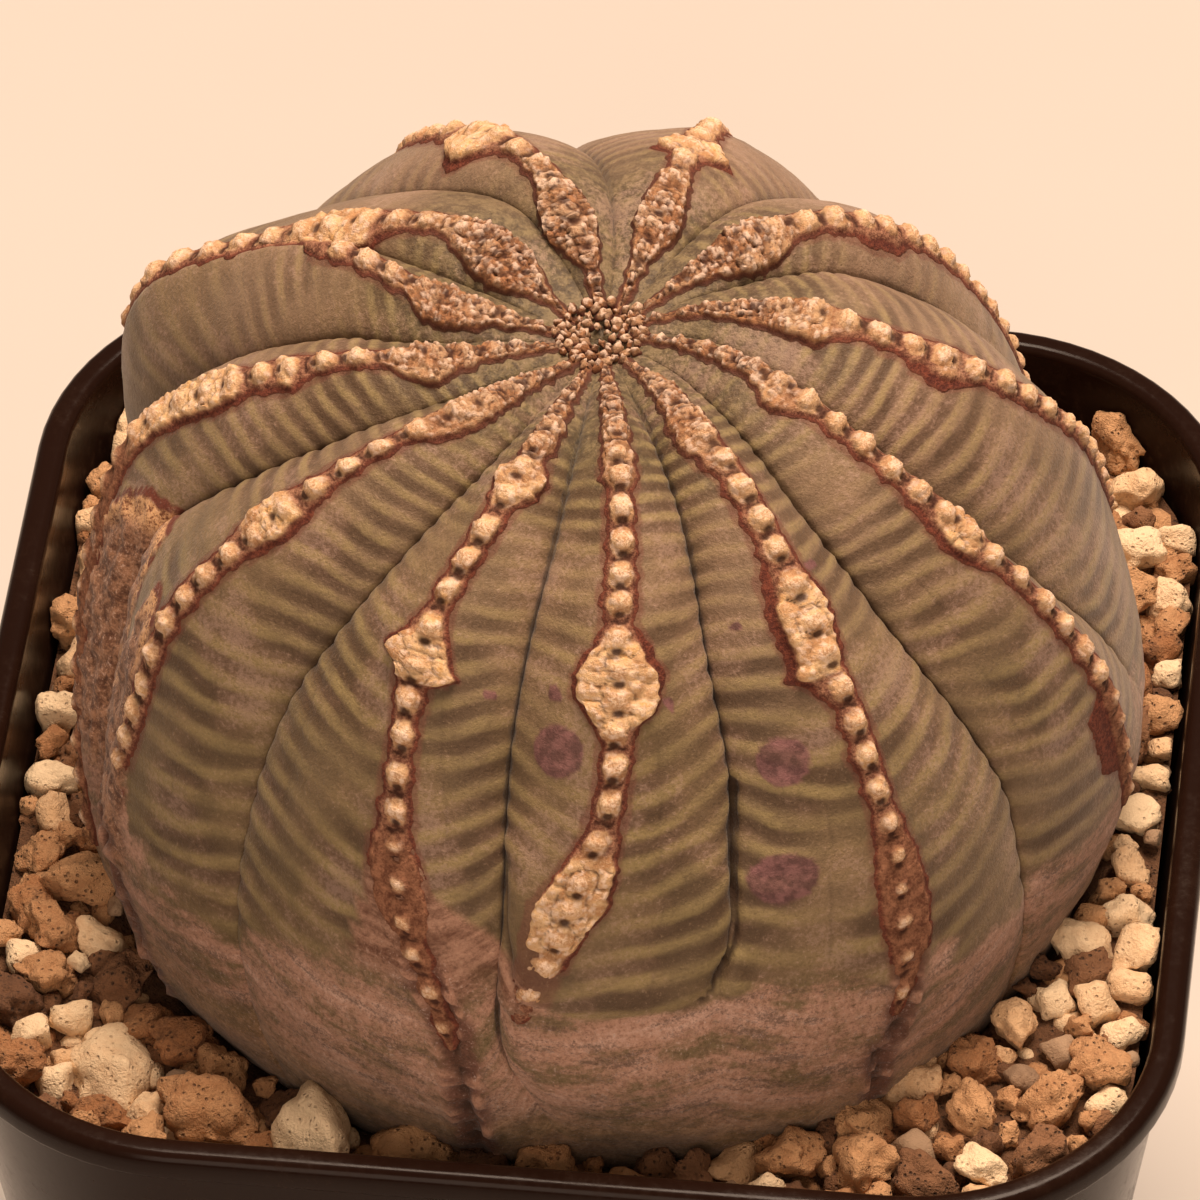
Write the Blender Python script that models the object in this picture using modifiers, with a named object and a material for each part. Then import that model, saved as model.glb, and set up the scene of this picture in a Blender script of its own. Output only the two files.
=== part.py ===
"""Potted baseball plant: a twelve-ribbed succulent ball in a rounded-square plastic pot of gravel.

Four pieces: the pot, the bed of gravel with the plain hole that the plant stands in, the plant's body with
its root, and the corky seam of all twelve rib crests, which meet in the crown. The pot's foot stands on
z = 0 and the pot's axis is the Z axis. The plant's front faces -Y, turned a little to the pot.
"""

import math
import random

import bmesh
import bpy
import numpy as np
from mathutils import Vector

MM = 0.001

# The pot, in millimetres
POT_WIDTH = 90.0
POT_HEIGHT = 75.0
POT_CORNER = 19.7
FOOT_WIDTH = 68.0
FOOT_CORNER = 13.0
FOOT_RING = 5.0
FOOT_RECESS = 1.5
WALL = 1.2
BEAD_OVERHANG = 1.1
BEAD_HEIGHT = 2.4
BEAD_ROUND = 0.6
DRAIN_RADIUS = 3.5
DRAIN_PITCH = 13.0
POT_SIDES = 64

# The gravel, in millimetres; depths are under the pot's rim
CLEARANCE = 0.4
BED_DEPTH = 6.8
BED_SIDES = 48
HOLE_MARGIN_TOP = 1.3
HOLE_MARGIN_ROOT = 0.9
STONE_LIFT = (0.05, 0.35)  # a stone's middle over the bed's top, as a share of its half width
STONE_MIN = 1.6
STONE_MAX = 3.3
STONE_TRIES = 9000
STONE_SPACING = 0.76  # the least distance of two stones, as a share of the sum of their half widths
STONE_SEED = 12

# The larger stones that are seen round the plant: place in the pot and half width
LARGE_STONES = [
    (-30.8, -30.4, 3.3), (-16.5, -38.0, 2.9), (-24.2, -36.0, 2.8), (-37.6, -14.0, 1.9), (-34.8, -22.2, 2.4),
    (-40.0, 3.0, 1.5), (-40.0, -4.6, 1.5), (-36.5, 33.0, 2.4), (37.8, 28.6, 2.4), (38.8, 22.0, 2.2),
    (39.4, -14.2, 1.9), (34.2, -24.4, 2.1), (31.0, -37.2, 2.3), (38.4, -24.4, 2.3), (33.5, 35.5, 2.6),
]

# The plant, in millimetres and degrees
PLANT_AXIS = (0.9, 0.1)
PLANT_TURN = 7.3
BODY_OUTLINE = [  # distance from the axis, height over the rim, along a rib's crest from crown to root tip
    (0.0, 38.8), (4.0, 39.6), (9.0, 41.6), (14.0, 42.4), (20.0, 40.6), (27.0, 35.2), (33.0, 27.4),
    (37.0, 18.2), (39.1, 9.0), (39.3, 3.0), (38.0, -4.0), (34.6, -11.0), (28.0, -17.0), (19.0, -21.5),
    (11.0, -24.6), (7.0, -30.0), (4.8, -40.0), (2.6, -50.0), (0.0, -55.0),
]

# What follows changes along a rib, and is given at these distances from the crown's middle
STATIONS = [4.0, 12.0, 20.0, 30.0, 40.0, 50.0, 60.0, 72.0, 86.0]

# The depths that a groove can have there
USUAL = [0.2, 1.8, 2.9, 3.2, 3.1, 2.7, 2.0, 1.2, 0.0]
FADED = [0.2, 1.8, 2.9, 3.2, 3.1, 2.6, 1.2, 0.2, 0.0]
BRIEF = [0.2, 1.8, 2.9, 3.2, 3.1, 1.8, 0.2, 0.0, 0.0]
SHORT = [0.2, 1.8, 1.8, 0.2, 0.0, 0.0, 0.0, 0.0, 0.0]
DEEP = [0.2, 1.8, 2.9, 3.6, 5.6, 7.0, 5.6, 2.4, 0.0]

# Each rib, counted counterclockwise from the right: the direction of its crest, how far it stands out past
# the outline, where its groove to the next rib lies between the two crests, and how deep that groove is
RIBS = [
    ([12, -2, -6, -2, 4, 10, 18, 20, 18], [0.8, 0.1, 0.6, 1.0, 0.6, -0.6, -0.8, -0.5, 0], 0.60, USUAL),
    ([37, 33, 31, 31, 30, 31, 34, 37, 38], [0.3, 0, 0.3, -0.2, -1.2, -1.7, -1.8, -1, 0], 0.54, USUAL),
    ([66, 67, 69, 72, 74, 75, 75, 75, 75], [0, 0, 0, 0.2, 0.2, 0, 0, 0, 0], 0.50, USUAL),
    ([94, 104, 111, 116, 115, 114, 113, 113, 113], [0.7, 0.7, 1, 1.1, 0.9, 0.4, 0, 0, 0], 0.40, USUAL),
    ([137, 140, 147, 151, 152, 152, 151, 150, 150], [0, 0.2, 0.2, 1.5, 3.4, 0.8, -3.6, -3, 0], 0.50, SHORT),
    ([176, 171, 158, 154, 155, 155, 154, 153, 153], [0.4, 0, 0.5, 1.7, 3.2, 0.2, -3.6, -3, 0], 0.53, DEEP),
    ([201, 200, 189, 179, 175, 180, 188, 197, 198], [0.3, -0.3, -0.5, -0.3, 0.7, 0, -0.7, 0, 0], 0.50, USUAL),
    ([234, 229, 218, 210, 205, 205, 204, 207, 208], [0.3, 0, -0.2, 0, 0.3, 0, 0, 0, 0], 0.52, USUAL),
    ([253, 252, 248, 243, 244, 247, 253, 255, 255], [0, -0.3, -0.3, 0, 0, 0.4, 0.5, 0.4, 0], 0.50, FADED),
    ([274, 275, 274, 272, 270, 266, 262, 270, 272], [0.3, 0.3, 0, 0, 0.1, 0.6, 0, -0.5, 0], 0.50, FADED),
    ([299, 298, 300, 301, 302, 302, 300, 295, 294], [0.4, 0, 0, 0, 0.2, 0.7, 1, 0.6, 0], 0.47, USUAL),
    ([340, 329, 328, 331, 335, 338, 340, 345, 345], [0.8, 0.2, -0.3, -0.2, 0.3, 1, 0.1, -1.3, 0], 0.32, BRIEF),
]
RIB_COUNT = len(RIBS)
RIB_CROWNING = 0.55  # the share of a rib's relief that rises straight from groove to crest

# The mesh of the body
RIB_COLUMNS = (-1.0, -0.8, -0.4, 0.0, 0.4, 0.8)  # for each rib, from the groove over the crest
BODY_ROWS = 27
ROOT_ROWS = 6
BODY_ROW_PITCH = 3.6

# The corky seam on the crests, in millimetres
CORK_GAP = 0.45
CORK_THICKNESS = 1.4
CORK_EDGE = 0.32  # thickness at the seam's edge, as a share of CORK_THICKNESS
CORK_DIP = 0.45  # thickness between two knobs, as a share of CORK_THICKNESS
CORK_HALF_WIDTH = 1.45
CORK_REACH = 0.72  # how far across a rib the seam may reach, as a share of the way to the groove
CORK_ROW_PITCH = 2.1
CORK_RAMP = 1.5
CORK_PATCHES = [  # for each rib: the seam's end, and its wider patches as (from, to, half width)
    (58, [(16, 21, 2.1), (27, 33, 2.0)]),
    (60, [(12, 18, 2.2), (24, 29, 1.9)]),
    (56, [(10, 18, 2.4), (22, 28, 2.9)]),
    (60, [(7, 17, 2.5), (23, 30, 2.4)]),
    (47, [(8, 16, 2.6), (20, 27, 2.6)]),
    (23, [(10, 17, 2.2)]),
    (62, [(11, 15, 2.1), (20, 33, 2.0), (37, 60, 2.8)]),
    (62, [(12, 16, 2.1), (25, 33, 2.3), (47, 60, 2.4)]),
    (54, [(16, 20, 2.0), (26, 32, 3.0), (43, 52, 2.6)]),
    (55, [(14, 17, 1.8), (28, 36, 3.0), (43, 50, 2.7)]),
    (60, [(9, 17, 2.1), (25, 32, 2.3), (46, 57, 2.3)]),
    (60, [(14, 19, 2.1), (29, 35, 2.1), (53, 60, 2.1)]),
]

# Surface colours, linear, with roughness and metallic
FINISHES = {
    "pot": ((0.012, 0.010, 0.010), 0.28, 0.0),
    "gravel": ((0.50, 0.30, 0.17), 0.92, 0.0),
    "plant_body": ((0.13, 0.11, 0.055), 0.62, 0.0),
    "cork_crests": ((0.46, 0.28, 0.16), 0.85, 0.0),
}


def clear_scene():
    """Remove everything that the file opened with."""
    for obj in list(bpy.data.objects):
        bpy.data.objects.remove(obj, do_unlink=True)


def new_collection(name):
    collection = bpy.data.collections.new(name)
    bpy.context.scene.collection.children.link(collection)
    return collection


def material(name):
    color, roughness, metallic = FINISHES[name]
    made = bpy.data.materials.new(name)
    made.use_nodes = True
    shader = made.node_tree.nodes["Principled BSDF"]
    shader.inputs["Base Color"].default_value = (*color, 1.0)
    shader.inputs["Roughness"].default_value = roughness
    shader.inputs["Metallic"].default_value = metallic
    return made


def object_from(bm, name, collection):
    """Turn a bmesh, modelled in millimetres, into an object in metres."""
    bmesh.ops.scale(bm, vec=(MM, MM, MM), verts=bm.verts)
    mesh = bpy.data.meshes.new(name)
    bm.to_mesh(mesh)
    bm.free()
    obj = bpy.data.objects.new(name, mesh)
    collection.objects.link(obj)
    return obj


def apply_modifiers(obj):
    """Replace an object's mesh by what its modifiers make of it."""
    seen = obj.evaluated_get(bpy.context.evaluated_depsgraph_get())
    mesh = bpy.data.meshes.new_from_object(seen)
    obj.modifiers.clear()
    obj.data = mesh


def finish(obj, sharp_degrees):
    """Give a piece its material and smooth shading up to the given edge angle."""
    obj.data.materials.clear()
    obj.data.materials.append(material(obj.name))
    obj.data.shade_smooth()
    obj.data.set_sharp_from_angle(angle=math.radians(sharp_degrees))


def rounded_square(half, corner, height, sides, center=(0.0, 0.0)):
    """Points at equal angles round a square with rounded corners; a circle where corner equals half."""
    points = []
    arc_center = half - corner
    for index in range(sides):
        angle = 2.0 * math.pi * (index + 0.5) / sides
        folded = angle % (math.pi / 2.0)
        folded = min(folded, math.pi / 2.0 - folded)
        reach = half / math.cos(folded)
        if reach * math.sin(folded) > arc_center:
            along = arc_center * (math.cos(folded) + math.sin(folded))
            reach = along + math.sqrt(along**2 - 2.0 * arc_center**2 + corner**2)
        x = center[0] + reach * math.cos(angle)
        y = center[1] + reach * math.sin(angle)
        points.append(Vector((x, y, height)))
    return points


def loft(loops):
    """Extrude a ring of edges from loop to loop, and close both ends."""
    bm = bmesh.new()
    ring = bmesh.ops.create_circle(bm, segments=len(loops[0]), radius=1.0)["verts"]
    for vert, point in zip(ring, loops[0]):
        vert.co = point
    for points in loops[1:]:
        edges = [vert.link_edges for vert in ring]
        rim = {edge for around in edges for edge in around if all(end in ring for end in edge.verts)}
        made = bmesh.ops.extrude_edge_only(bm, edges=list(rim))["geom"]
        fresh = [item for item in made if isinstance(item, bmesh.types.BMVert)]
        partner = {}
        for vert in fresh:
            for edge in vert.link_edges:
                partner[edge.other_vert(vert)] = vert
        ring = [partner[vert] for vert in ring]
        for vert, point in zip(ring, points):
            vert.co = point
    bmesh.ops.holes_fill(bm, edges=bm.edges, sides=0)
    bmesh.ops.recalc_face_normals(bm, faces=bm.faces)
    return bm


def pot_half(height):
    """Half the pot's outer width under the bead, at a height over its foot."""
    top = POT_WIDTH / 2.0 - BEAD_OVERHANG
    return FOOT_WIDTH / 2.0 + (top - FOOT_WIDTH / 2.0) * height / (POT_HEIGHT - BEAD_HEIGHT)


def pot_corner(height):
    return FOOT_CORNER + (POT_CORNER - BEAD_OVERHANG - FOOT_CORNER) * height / (POT_HEIGHT - BEAD_HEIGHT)


def pot_loop(inset, height, sides):
    """A loop round the pot's wall, a distance inside its outer face."""
    return rounded_square(pot_half(height) - inset, pot_corner(height) - inset, height, sides)


def rim_loop(inset, height, sides):
    return rounded_square(POT_WIDTH / 2.0 - inset, POT_CORNER - inset, height, sides)


def build_pot(collection, cutters):
    """The wall, its bead and the foot ring from one ring of edges, with drain holes cut in the floor."""
    bead_bottom = POT_HEIGHT - BEAD_HEIGHT
    bead_inset = BEAD_OVERHANG + WALL
    floor = FOOT_RECESS + WALL
    loops = [
        pot_loop(FOOT_RING, FOOT_RECESS, POT_SIDES),
        pot_loop(FOOT_RING, 0.0, POT_SIDES),
        pot_loop(0.0, 0.0, POT_SIDES),
        pot_loop(0.0, bead_bottom, POT_SIDES),
        rim_loop(0.0, bead_bottom + BEAD_ROUND, POT_SIDES),
        rim_loop(0.0, POT_HEIGHT - BEAD_ROUND, POT_SIDES),
        rim_loop(BEAD_ROUND, POT_HEIGHT, POT_SIDES),
        rim_loop(bead_inset - BEAD_ROUND, POT_HEIGHT, POT_SIDES),
        rim_loop(bead_inset, POT_HEIGHT - BEAD_ROUND, POT_SIDES),
        pot_loop(WALL, bead_bottom, POT_SIDES),
        pot_loop(WALL, floor, POT_SIDES),
    ]
    pot = object_from(loft(loops), "pot", collection)
    places = [(0.0, 0.0)]
    places += [(x * DRAIN_PITCH, y * DRAIN_PITCH) for x in (-1, 1) for y in (-1, 1)]
    bm = bmesh.new()
    for x, y in places:
        made = bmesh.ops.create_cone(
            bm, cap_ends=True, segments=16, radius1=DRAIN_RADIUS, radius2=DRAIN_RADIUS, depth=4.0 * WALL)
        bmesh.ops.translate(bm, vec=(x, y, FOOT_RECESS + WALL / 2.0), verts=made["verts"])
    drill = object_from(bm, "drain_drill", cutters)
    drill.hide_render = True
    drill.display_type = "WIRE"
    cut = pot.modifiers.new("drain_holes", "BOOLEAN")
    cut.operation = "DIFFERENCE"
    cut.object = drill
    finish(pot, 35.0)
    return pot


def smooth_line(points, steps=12):
    """Read a smooth curve through a short list of points."""
    given = np.array(points, dtype=float)
    padded = np.vstack([2 * given[0] - given[1], given, 2 * given[-1] - given[-2]])
    line = []
    for first, second, third, fourth in zip(padded, padded[1:], padded[2:], padded[3:]):
        for step in range(steps):
            t = step / steps
            line.append(0.5 * (2 * second + (third - first) * t
                               + (2 * first - 5 * second + 4 * third - fourth) * t**2
                               + (3 * second - first - 3 * third + fourth) * t**3))
    line.append(given[-1])
    return np.array(line)


OUTLINE = smooth_line(BODY_OUTLINE)
OUTLINE_STEPS = np.linalg.norm(np.diff(OUTLINE, axis=0), axis=1)
OUTLINE_LENGTHS = np.concatenate([[0.0], np.cumsum(OUTLINE_STEPS)])
OUTLINE_LENGTH = float(OUTLINE_LENGTHS[-1])
OUTLINE_TANGENTS = np.gradient(OUTLINE, axis=0)
OUTLINE_TANGENTS /= np.linalg.norm(OUTLINE_TANGENTS, axis=1)[:, None]


def outline_at(length, outward):
    """Distance from the axis and height over the rim, moved outward square to the outline."""
    x, z, along_x, along_z = (
        float(np.interp(length, OUTLINE_LENGTHS, values))
        for values in (OUTLINE[:, 0], OUTLINE[:, 1], OUTLINE_TANGENTS[:, 0], OUTLINE_TANGENTS[:, 1]))
    return x - along_z * outward, z + along_x * outward


def between(values, length):
    """A value that changes along a rib, read smoothly between its stations."""
    length = min(max(length, STATIONS[0]), STATIONS[-1])
    slopes = np.gradient(np.array(values, dtype=float), STATIONS)
    index = min(int(np.searchsorted(STATIONS, length, side="right")) - 1, len(STATIONS) - 2)
    span = STATIONS[index + 1] - STATIONS[index]
    t = (length - STATIONS[index]) / span
    start = values[index] * (1 + 2 * t) * (1 - t) ** 2 + slopes[index] * span * t * (1 - t) ** 2
    end = values[index + 1] * t**2 * (3 - 2 * t) + slopes[index + 1] * span * t**2 * (t - 1)
    return float(start + end)


def crest(rib, length):
    """Direction and standing-out of a rib's crest; ribs past the last one go on round the plant."""
    turns, index = divmod(rib, RIB_COUNT)
    directions, standing, _, _ = RIBS[index]
    return between(directions, length) + 360.0 * turns, between(standing, length)


def groove(rib, length):
    """Direction, standing-out and depth of the groove that follows a rib."""
    _, _, place, depths = RIBS[rib % RIB_COUNT]
    here, here_out = crest(rib, length)
    there, there_out = crest(rib + 1, length)
    direction = here + (there - here) * place
    return direction, here_out + (there_out - here_out) * place, between(depths, length)


def skin_point(rib, across, length, outward=0.0):
    """A point on the skin: across is -1 in the groove before a rib, 0 on its crest, 1 in the next groove."""
    crest_direction, crest_out = crest(rib, length)
    edge_direction, edge_out, depth = groove(rib if across > 0 else rib - 1, length)
    share = abs(across)
    direction = crest_direction + (edge_direction - crest_direction) * share
    standing = crest_out + (edge_out - crest_out) * share
    rise = 1.0 - share
    relief = RIB_CROWNING * rise + (1.0 - RIB_CROWNING) * math.sqrt(1.0 - share**2)
    radius, height = outline_at(length, standing - depth * (1.0 - relief) + outward)
    radius = max(radius, 0.0)
    angle = math.radians(direction + PLANT_TURN)
    return Vector((PLANT_AXIS[0] + radius * math.cos(angle), PLANT_AXIS[1] + radius * math.sin(angle),
                   POT_HEIGHT + height))


def place_on_sphere(vert, columns, rows):
    """Column and row of a vertex of a unit sphere that has this many columns and rows of faces."""
    column = round(math.atan2(vert.co.y, vert.co.x) / (2.0 * math.pi) * columns) % columns
    row = round(math.acos(max(-1.0, min(1.0, vert.co.z))) / math.pi * rows)
    return column, row


def build_plant_body(collection):
    """A sphere whose columns run along the grooves and crests, and whose rows go down to the root tip."""
    columns = RIB_COUNT * len(RIB_COLUMNS)
    rows = BODY_ROWS + ROOT_ROWS
    root_start = BODY_ROWS * BODY_ROW_PITCH
    bm = bmesh.new()
    bmesh.ops.create_uvsphere(bm, u_segments=columns, v_segments=rows, radius=1.0)
    for vert in bm.verts:
        column, row = place_on_sphere(vert, columns, rows)
        rib, step = divmod(column, len(RIB_COLUMNS))
        length = row * BODY_ROW_PITCH
        if row > BODY_ROWS:
            length = root_start + (OUTLINE_LENGTH - root_start) * (row - BODY_ROWS) / ROOT_ROWS
        vert.co = skin_point(rib, RIB_COLUMNS[step], length)
    bmesh.ops.recalc_face_normals(bm, faces=bm.faces)
    body = object_from(bm, "plant_body", collection)
    finish(body, 50.0)
    return body


def cork_half_width(rib, length):
    """Half the seam's width at a distance from the crown, wider in its patches."""
    widest = CORK_HALF_WIDTH
    for start, end, half in CORK_PATCHES[rib][1]:
        inside = min(length - start, end - length) / CORK_RAMP + 0.5
        inside = min(max(inside, 0.0), 1.0)
        widest = max(widest, CORK_HALF_WIDTH + (half - CORK_HALF_WIDTH) * inside)
    return widest


def cork_across(rib, side, length):
    """How far across a rib the seam's edge lies, on the side -1 or 1."""
    here, _ = crest(rib, length)
    edge, _, _ = groove(rib if side > 0 else rib - 1, length)
    radius, _ = outline_at(length, 0.0)
    span = math.radians(abs(edge - here)) * max(radius, 0.5)
    return side * min(cork_half_width(rib, length) / span, CORK_REACH)


def build_cork_crests(collection):
    """One star-shaped sheet over the crown and all crests, thickened outward into a row of knobs on each."""
    roles = (None, -1.0, -0.4, 0.0, 0.4, 1.0)  # the groove, then the seam from edge to edge
    per_rib = len(roles)
    columns = RIB_COUNT * per_rib
    rows = 32
    crown_rows = 2
    bm = bmesh.new()
    bmesh.ops.create_uvsphere(bm, u_segments=columns, v_segments=rows, radius=1.0)
    thick = bm.verts.layers.deform.verify()
    kept = set()
    for vert in bm.verts:
        column, row = place_on_sphere(vert, columns, rows)
        rib, step = divmod(column, per_rib)
        role = roles[step]
        length = row * CORK_ROW_PITCH
        across = -1.0 if role is None else abs(role) * cork_across(rib, math.copysign(1.0, role), length)
        in_crown = row <= crown_rows
        if in_crown or (role is not None and length <= CORK_PATCHES[rib][0]):
            kept.add(vert)
        knob = 1.0 if row % 2 == 0 else CORK_DIP
        vert[thick][0] = CORK_EDGE if role is None or abs(role) == 1.0 else knob
        vert.co = skin_point(rib, across, length, CORK_GAP)
    spare = [vert for vert in bm.verts if vert not in kept]
    bmesh.ops.delete(bm, geom=spare, context="VERTS")
    cork = object_from(bm, "cork_crests", collection)
    cork.vertex_groups.new(name="thickness")
    shell = cork.modifiers.new("cork", "SOLIDIFY")
    shell.thickness = CORK_THICKNESS * MM
    shell.offset = 1.0
    shell.vertex_group = "thickness"
    shell.thickness_vertex_group = 0.0
    finish(cork, 60.0)
    return cork


def hole_loop(length, margin):
    """A round loop of the plant's hole, a margin outside the body's outline."""
    radius, height = outline_at(length, margin)
    return rounded_square(radius, radius, POT_HEIGHT + height, BED_SIDES, PLANT_AXIS)


def hole_rim(height):
    """Radius of the hole at the bed's top, where the body is almost at its widest."""
    depths = POT_HEIGHT - height
    down = [index for index, point in enumerate(OUTLINE) if point[1] <= -depths]
    return float(OUTLINE[down[0]][0]) + HOLE_MARGIN_TOP


def stone(name, place, half, draw, collection):
    """A stone with its underside in the bed: twenty faces, squashed, turned and knocked out of true."""
    bm = bmesh.new()
    bmesh.ops.create_icosphere(bm, subdivisions=1, radius=half)
    squash = Vector((draw.uniform(0.85, 1.15), draw.uniform(0.8, 1.0), draw.uniform(0.75, 0.95)))
    bmesh.ops.scale(bm, vec=squash, verts=bm.verts)
    for vert in bm.verts:
        vert.co *= draw.uniform(0.86, 1.08)
    turn = Vector((draw.uniform(-1, 1), draw.uniform(-1, 1), draw.uniform(-1, 1))).to_track_quat("Z", "Y")
    for vert in bm.verts:
        vert.co = turn @ vert.co + Vector(place)
    return object_from(bm, name, collection)


def stone_places(draw, hole_radius):
    """The larger stones as given, then ever smaller ones wherever they fit between the hole and the wall."""
    level = POT_HEIGHT - BED_DEPTH
    wall_half = pot_half(level) - WALL - CLEARANCE
    wall_corner = pot_corner(level) - WALL - CLEARANCE
    placed = list(LARGE_STONES)
    for attempt in range(STONE_TRIES):
        half = STONE_MAX + (STONE_MIN - STONE_MAX) * attempt / STONE_TRIES
        x, y = draw.uniform(-wall_half, wall_half), draw.uniform(-wall_half, wall_half)
        room = 1.15 * half
        beyond = max(abs(x) - (wall_half - wall_corner), 0.0), max(abs(y) - (wall_half - wall_corner), 0.0)
        if math.hypot(*beyond) > wall_corner - room:
            continue
        if math.hypot(x - PLANT_AXIS[0], y - PLANT_AXIS[1]) < hole_radius + CLEARANCE + 1.1 * half:
            continue
        if all(math.hypot(x - a, y - b) > STONE_SPACING * (half + other) for a, b, other in placed):
            placed.append((x, y, half))
    return placed


def build_gravel(collection, stones):
    """The bed that fills the pot, with the plant's hole, and the top layer of stones joined to it."""
    draw = random.Random(STONE_SEED)
    top = POT_HEIGHT - BED_DEPTH
    bottom = FOOT_RECESS + WALL + CLEARANCE
    hole_radius = hole_rim(top)
    under = OUTLINE_LENGTHS[OUTLINE[:, 1] < -BED_DEPTH - 1.0][0]
    deep = OUTLINE_LENGTH - 4.0
    loops = [pot_loop(WALL + CLEARANCE, bottom, BED_SIDES), pot_loop(WALL + CLEARANCE, top, BED_SIDES)]
    loops.append(rounded_square(hole_radius, hole_radius, top, BED_SIDES, PLANT_AXIS))
    steps = 8
    for step in range(steps + 1):
        share = step / steps
        margin = HOLE_MARGIN_TOP + (HOLE_MARGIN_ROOT - HOLE_MARGIN_TOP) * min(3.0 * share, 1.0)
        loops.append(hole_loop(under + (deep - under) * share, margin))
    root_end = POT_HEIGHT + float(OUTLINE[-1][1]) - HOLE_MARGIN_ROOT
    loops.append(rounded_square(1.5, 1.5, root_end, BED_SIDES, PLANT_AXIS))
    gravel = object_from(loft(loops), "gravel", collection)
    for index, (x, y, half) in enumerate(stone_places(draw, hole_radius)):
        place = (x, y, top + half * draw.uniform(*STONE_LIFT))
        stone(f"stone_{index:03d}", place, half, draw, stones)
    join = gravel.modifiers.new("stones", "BOOLEAN")
    join.operation = "UNION"
    join.operand_type = "COLLECTION"
    join.collection = stones
    apply_modifiers(gravel)
    for obj in list(stones.objects):
        bpy.data.objects.remove(obj, do_unlink=True)
    bpy.data.collections.remove(stones)
    finish(gravel, 30.0)
    return gravel


def build():
    clear_scene()
    parts = new_collection("potted_baseball_plant")
    cutters = new_collection("cutters")
    stones = new_collection("stones")
    build_pot(parts, cutters)
    build_gravel(parts, stones)
    build_plant_body(parts)
    build_cork_crests(parts)


build()
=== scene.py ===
# %% [markdown]
# A potted baseball plant, dressed for its portrait
#
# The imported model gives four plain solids: a pot, a bed of gravel, the plant's body and its corky
# seams. They are the fixed frame. Each one is replaced here by a finer piece of the same form, with a
# finish of its own, and then lit and looked at from the height of a person bending over a table.

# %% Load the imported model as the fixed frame
import math
import random

import bpy
import numpy as np
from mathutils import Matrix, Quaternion, Vector, noise


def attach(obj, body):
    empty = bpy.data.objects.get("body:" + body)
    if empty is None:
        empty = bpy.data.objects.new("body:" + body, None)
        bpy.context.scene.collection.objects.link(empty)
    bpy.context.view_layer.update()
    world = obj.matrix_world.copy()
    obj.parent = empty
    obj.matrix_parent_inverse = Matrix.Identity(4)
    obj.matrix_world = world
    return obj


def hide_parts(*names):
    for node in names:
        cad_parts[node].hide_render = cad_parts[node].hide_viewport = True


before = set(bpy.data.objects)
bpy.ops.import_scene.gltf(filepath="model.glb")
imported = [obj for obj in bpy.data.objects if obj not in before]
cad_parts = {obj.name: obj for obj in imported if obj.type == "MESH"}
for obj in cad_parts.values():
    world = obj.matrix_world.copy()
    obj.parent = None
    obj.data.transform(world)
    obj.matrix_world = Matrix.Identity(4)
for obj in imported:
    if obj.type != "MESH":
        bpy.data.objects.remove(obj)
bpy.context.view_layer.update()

MM = 0.001

# %% [markdown]
# The camera
#
# A long lens far away keeps the rounded pot from looking stretched. The place, the point looked at and
# the small roll are real sizes in the pot's own frame, so they need no trial and error: a track
# quaternion turns the camera to its aim, and the roll is added about the line of sight.

# %% Camera
CAMERA_PLACE = (70.47, -547.95, 648.20)
CAMERA_AIM = (-0.36, 6.57, 81.47)
CAMERA_ROLL = -0.99
CAMERA_LENS = 327.6

camera = bpy.data.objects.new("camera", bpy.data.cameras.new("camera"))
camera.data.lens = CAMERA_LENS
camera.data.sensor_width = 36.0
camera.data.clip_start = 0.05
camera.location = Vector(CAMERA_PLACE) * MM
line_of_sight = Vector(CAMERA_AIM) - Vector(CAMERA_PLACE)
camera.rotation_mode = "QUATERNION"
roll = Quaternion((0.0, 0.0, 1.0), math.radians(CAMERA_ROLL))
camera.rotation_quaternion = line_of_sight.to_track_quat("-Z", "Y") @ roll
bpy.context.scene.collection.objects.link(camera)
bpy.context.scene.camera = camera
print("camera at", [round(value, 3) for value in camera.location])

# %% [markdown]
# Materials as sums
#
# A finish is a small net of nodes. Wiring it by hand takes ten lines for a sum of two masks, so one
# class wraps a socket and lets Python's operators add the Math nodes. Vectors take Vector Math, and
# colours are only ever mixed.

# %% A socket that can be added, multiplied and compared
class Signal:
    """A value on its way through a finish. Operators on it add Math or Vector Math nodes."""

    def __init__(self, finish, socket):
        self.finish = finish
        self.socket = socket

    def _with(self, operation, first, second):
        if self.socket.type == "VECTOR":
            pair = [(value,) * 3 if isinstance(value, (int, float)) else value for value in (first, second)]
            return self.finish.node("VectorMath", {"operation": operation}, {0: pair[0], 1: pair[1]})
        return self.finish.node("Math", {"operation": operation}, {0: first, 1: second})

    def __add__(self, other):
        return self._with("ADD", self, other)

    def __radd__(self, other):
        return self._with("ADD", other, self)

    def __sub__(self, other):
        return self._with("SUBTRACT", self, other)

    def __rsub__(self, other):
        return self._with("SUBTRACT", other, self)

    def __mul__(self, other):
        return self._with("MULTIPLY", self, other)

    def __rmul__(self, other):
        return self._with("MULTIPLY", other, self)

    def step(self, low, high):
        """0 below low, 1 over high, and a soft step between; low may be the larger one."""
        sockets = {0: self, 1: low, 2: high, 3: 0.0, 4: 1.0}
        return self.finish.node("MapRange", {"interpolation_type": "SMOOTHSTEP"}, sockets)


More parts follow.
